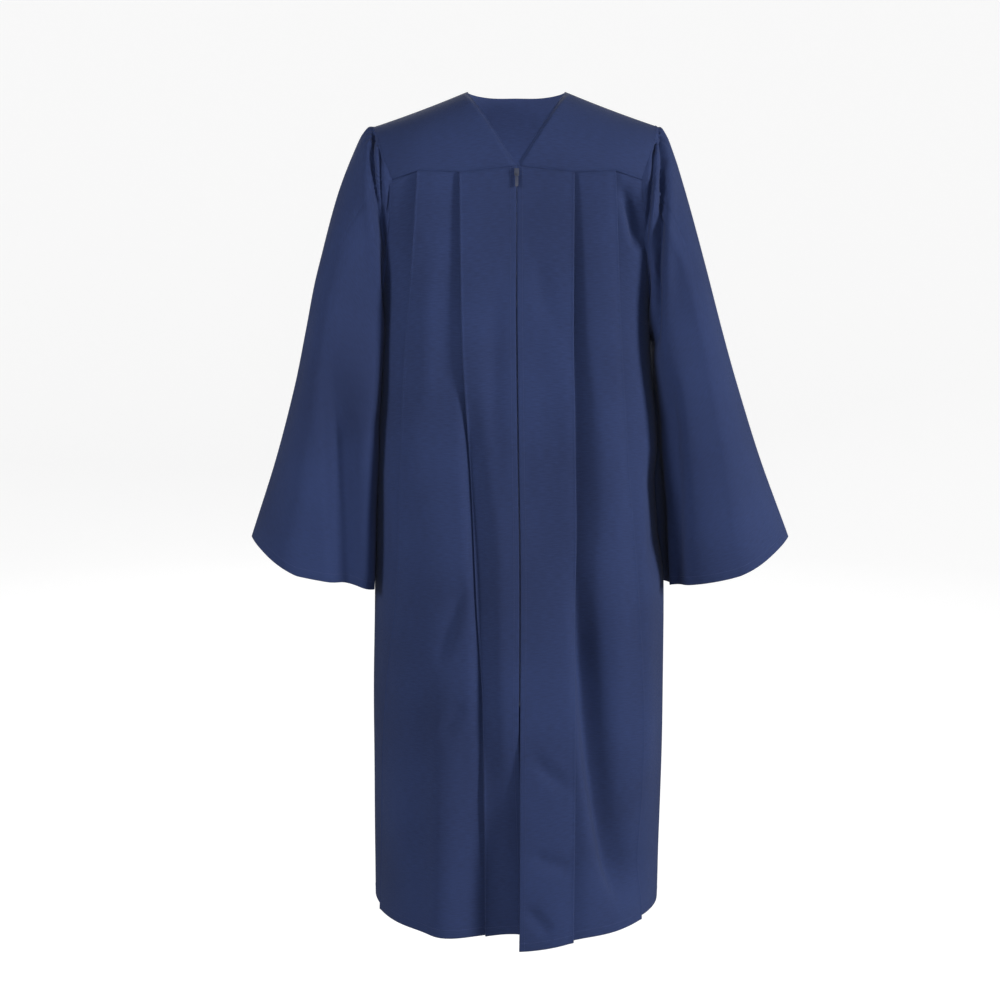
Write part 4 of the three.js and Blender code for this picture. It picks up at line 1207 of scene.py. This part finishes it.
# %% Zip tapes
TAPE_THICK = 0.7
TAPE_INSET = 1.9
TAPE_REACH = (2.4, 14.0)
TAPE_ROWS = 240
TAPE_COLUMNS = 7
EDGE_STRIP = 12
TAPE_DARK = (0.006, 0.012, 0.045)
TAPE_LIGHT = (0.008, 0.015, 0.052)
TAPE_PITCH = 0.0009
zip_tape = woven_material("zip_tape_weave", TAPE_DARK, TAPE_LIGHT, TAPE_PITCH, 0.8)


def behind_front(hand, reach, heights, inset):
    """Points behind a front, at a distance from the middle and at given heights."""
    rows = fronts[hand][:, :EDGE_STRIP]
    across = np.abs(rows[:, :, 0] - swing(rows[:, :, 2]))
    y, z = (np.array([np.interp(reach, a, row) for a, row in zip(across, rows[:, :, k])]) for k in (1, 2))
    x = swing(heights) + SIDE[hand] * reach
    return np.stack([x, np.interp(heights, z[::-1], y[::-1]) + inset, heights], 1)


zip_pieces = {}
for hand in SIDE:
    low, high = (corner.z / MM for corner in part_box(f"zip_tape_{hand}"))
    heights = np.linspace(high, low, TAPE_ROWS)
    columns = [behind_front(hand, r, heights, TAPE_INSET) for r in np.linspace(*TAPE_REACH, TAPE_COLUMNS)]
    strip = np.stack(columns, 1)
    zip_pieces[f"tape_{hand}"] = cloth_shell(
        f"zip_tape_cloth_{hand}", strip, flip=hand == "left", thick=TAPE_THICK, material=zip_tape
    )
    print("tape", hand, "from", round(high, 1), "to", round(low, 1), "mm")


# %% A node tree that sets small shapes along a line
def line_tree(name, segments, rings, sizes, slant=0.0):
    """Geometry Nodes: a line of edges becomes a row of beads, each turned along the line.
    A bead is a ball, stretched to the sizes named for its X, Y and Z, and turned aslant."""
    tree = bpy.data.node_groups.new(name, "GeometryNodeTree")
    face = tree.interface
    face.new_socket("Geometry", in_out="INPUT", socket_type="NodeSocketGeometry")
    for label in ("Pitch", "Length", "Width"):
        face.new_socket(label, in_out="INPUT", socket_type="NodeSocketFloat")
    face.new_socket("Material", in_out="INPUT", socket_type="NodeSocketMaterial")
    face.new_socket("Geometry", in_out="OUTPUT", socket_type="NodeSocketGeometry")
    given = add_node(tree, "NodeGroupInput").outputs

    def then(kind, values, **settings):
        return add_node(tree, kind, values, **settings).outputs[0]

    curve = then("GeometryNodeMeshToCurve", {"Mesh": given["Geometry"]})
    even = then("GeometryNodeResampleCurve", {"Curve": curve, "Length": given["Pitch"]}, mode="LENGTH")
    ball = then("GeometryNodeMeshUVSphere", {"Segments": segments, "Rings": rings, "Radius": 0.5})
    size = then("ShaderNodeCombineXYZ", {axis: given[label] for axis, label in zip("XYZ", sizes)})
    bead = then("GeometryNodeTransform", {"Geometry": ball, "Rotation": (0, 0, slant), "Scale": size})
    way = then("GeometryNodeInputTangent", {})
    turn = then("FunctionNodeAlignRotationToVector", {"Vector": way}, axis="X")
    placed = then("GeometryNodeInstanceOnPoints", {"Points": even, "Instance": bead, "Rotation": turn})
    real = then("GeometryNodeRealizeInstances", {"Geometry": placed})
    soft = then("GeometryNodeSetShadeSmooth", {"Geometry": real})
    painted = then("GeometryNodeSetMaterial", {"Geometry": soft, "Material": given["Material"]})
    add_node(tree, "NodeGroupOutput", {"Geometry": painted})
    return tree


def beads_along(name, lines, tree, material, **sizes):
    """Runs a line tree over some lines in millimetres and keeps the result as a plain mesh."""
    points = np.vstack(lines) * MM
    starts = np.cumsum([0] + [len(line) for line in lines])
    edges = [(i, i + 1) for a, b in zip(starts[:-1], starts[1:]) for i in range(a, b - 1)]
    guide_mesh = bpy.data.meshes.new(name + "_guide")
    guide_mesh.from_pydata(points.tolist(), edges, [])
    guide = add_object(name + "_guide", guide_mesh)
    modifier = guide.modifiers.new("beads", "NODES")
    modifier.node_group = tree
    sockets = {item.name: item.identifier for item in tree.interface.items_tree if item.in_out == "INPUT"}
    for label, value in sizes.items():
        modifier[sockets[label]] = value
    modifier[sockets["Material"]] = material
    seen = guide.evaluated_get(bpy.context.evaluated_depsgraph_get())
    mesh = bpy.data.meshes.new_from_object(seen)
    mesh.name = name
    bpy.data.objects.remove(guide)
    print(name, len(mesh.polygons), "faces")
    return add_object(name, mesh)


# %% Zip coil
COIL_INSET = 0.6
COIL_ROWS = 300
COIL_SLANT = math.radians(12)
GRAIN_HEIGHT = 0.0001


def grained_material(name, colour, roughness, scale, strength):
    """A plain surface with a fine grain."""
    material, tree, shader = new_material(name, Base_Color=(*colour, 1), Roughness=roughness)
    place = add_node(tree, "ShaderNodeTexCoord").outputs["Object"]
    add_bump(tree, shader, noise_node(tree, place, Scale=scale), strength, GRAIN_HEIGHT)
    return material


coil_plastic = grained_material("coil_plastic", (0.010, 0.018, 0.055), 0.45, 900.0, 0.1)
coil_low, coil_high = (corner.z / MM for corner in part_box("zip_coil"))
coil_heights = np.linspace(coil_high - COIL_INSET, coil_low + COIL_INSET, COIL_ROWS)
coil_line = behind_front("left", EDGE_HALF_GAP, coil_heights, TAPE_INSET)
coil_line[:, 0] = swing(coil_heights)
coil_tree = line_tree("coil_turns", 8, 6, ("Width", "Length", "Width"), COIL_SLANT)
zip_pieces["coil"] = beads_along(
    "zip_coil_turns", [coil_line], coil_tree, coil_plastic, Pitch=0.00135, Length=0.0046, Width=0.0013
)

# %% Slider, stop and pull tab
WELD = 1e-6
FLAT_ANGLE = math.radians(1)
BEVEL_ANGLE = math.radians(40)
BEVEL_SEGMENTS = 3
TRIM_SHARP = math.radians(35)
zip_metal = grained_material("zip_enamel", (0.014, 0.020, 0.048), 0.5, 1400.0, 0.08)


def rounded_copy(node, name, width):
    """A welded copy of a solid with its edges rounded."""
    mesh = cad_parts[node].data.copy()
    welded = bmesh.new()
    welded.from_mesh(mesh)
    bmesh.ops.remove_doubles(welded, verts=welded.verts, dist=WELD)
    bmesh.ops.dissolve_limit(welded, angle_limit=FLAT_ANGLE, verts=welded.verts, edges=welded.edges)
    welded.to_mesh(mesh)
    welded.free()
    copy = add_object(name, mesh)
    bevel = copy.modifiers.new("round", "BEVEL")
    bevel.width = width * MM
    bevel.segments = BEVEL_SEGMENTS
    bevel.limit_method = "ANGLE"
    bevel.angle_limit = BEVEL_ANGLE
    seen = copy.evaluated_get(bpy.context.evaluated_depsgraph_get())
    finished = bpy.data.meshes.new_from_object(seen)
    copy.modifiers.clear()
    copy.data = finished
    finished.materials.clear()
    finished.materials.append(zip_metal)
    finished.shade_smooth()
    finished.set_sharp_from_angle(angle=TRIM_SHARP)
    print(name, len(finished.polygons), "faces")
    return copy


zip_pieces["slider"] = rounded_copy("zip_slider", "zip_slider_body", 0.18)
zip_pieces["stop"] = rounded_copy("zip_bottom_stop", "zip_stop", 0.2)
zip_pieces["tab"] = rounded_copy("zip_pull_tab", "zip_tab", 0.2)

# %% [markdown]
# ## Stitching
# A row of machine stitches runs down each side of the zip, holding the tapes, and another holds every hem
# and cuff. Each stitch is a grain of thread on top of the cloth, set along a line that is read from the
# piece's own grid of points, so that it follows every fold.

# %% Stitch lines
ZIP_STITCH = 7.0
HEM_STITCH = 12.0
THREAD_LIFT = CLOTH_THICK / 2 + 0.1
thread_navy, _, _ = new_material("thread_navy", Base_Color=(0.020, 0.036, 0.120, 1), Roughness=0.6)


def line_across(points, normals, distance):
    """A line down a grid, at a distance from its first column."""
    raised = points + normals * THREAD_LIFT
    return np.array([points_at(distance, running_length(row), up) for row, up in zip(points, raised)])


def line_above_edge(points, normals, distance):
    """A line along a grid, at a distance above its last row."""
    return line_across(points[::-1].transpose(1, 0, 2), normals[::-1].transpose(1, 0, 2), distance)


stitch_lines = []
for hand, side in SIDE.items():
    points = fronts[hand]
    normals = grid_normals(points) * -side
    stitch_lines.append(line_across(points[2:], normals[2:], ZIP_STITCH))
    stitch_lines.append(line_above_edge(points, normals, HEM_STITCH))
    ring = sleeves[hand]
    cuff = line_above_edge(ring, grid_normals(ring, ring=True) * side, HEM_STITCH)
    stitch_lines.append(np.vstack([cuff, cuff[:1]]))
stitch_lines.append(line_above_edge(back, grid_normals(back), HEM_STITCH))
stitch_tree = line_tree("stitch_row", 6, 4, ("Length", "Width", "Width"))
stitches = beads_along(
    "stitches", stitch_lines, stitch_tree, thread_navy, Pitch=0.0034, Length=0.0028, Width=0.00042
)

# %% [markdown]
# ## Bodies for the pieces
# Every piece rides on its body, and the solids that it stands for are hidden. For each sheet of cloth the
# area of its mesh is printed beside the area of the flat cut that it was sewn from.

# %% Bodies, hidden solids and cloth areas
CUTS = {
    "front_right": ("front_right", (0.46, 1.16), 0.45, ["cloth_yoke_right"]),
    "front_left": ("front_left", (0.46, 1.16), 0.45, ["cloth_yoke_left"]),
    "back": ("back_panel", (0.90, 1.13), 0.85, ["cloth_yoke_back"]),
    "yoke_right": ("yoke_front_right", (0.19, 0.18), 0.026, ["cloth_yoke_back"]),
    "yoke_left": ("yoke_front_left", (0.19, 0.18), 0.026, ["cloth_yoke_back"]),
    "yoke_back": ("yoke_back", (0.45, 0.21), 0.085, ["cloth_yoke_right", "cloth_yoke_left"]),
    "sleeve_right": ("sleeve_right", (0.80, 0.67), 0.36, ["cloth_yoke_right", "cloth_yoke_back"]),
    "sleeve_left": ("sleeve_left", (0.80, 0.67), 0.36, ["cloth_yoke_left", "cloth_yoke_back"]),
}
for name, piece in cloth.items():
    node, flat, area, held_from = CUTS[name]
    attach(piece, "gown")
    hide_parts(node)
    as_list(held_from)
    mesh_area = sum(face.area for face in piece.data.polygons) / 2
    print(name, "cloth", round(mesh_area, 4), "m2, cut", area, "m2")

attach(stitches, "gown")
for name, nodes, slot, body in (
    ("tape_right", ("zip_tape_right",), "zip_tape", "gown"),
    ("tape_left", ("zip_tape_left",), "zip_tape", "gown"),
    ("coil", ("zip_coil",), "zip_coil", "gown"),
    ("stop", ("zip_bottom_stop",), "zip_metal", "gown"),
    ("slider", ("zip_slider",), "zip_metal", "gown"),
    ("tab", ("zip_pull_tab",), "zip_metal", "zip_pull"),
):
    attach(zip_pieces[name], body)
    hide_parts(*nodes)
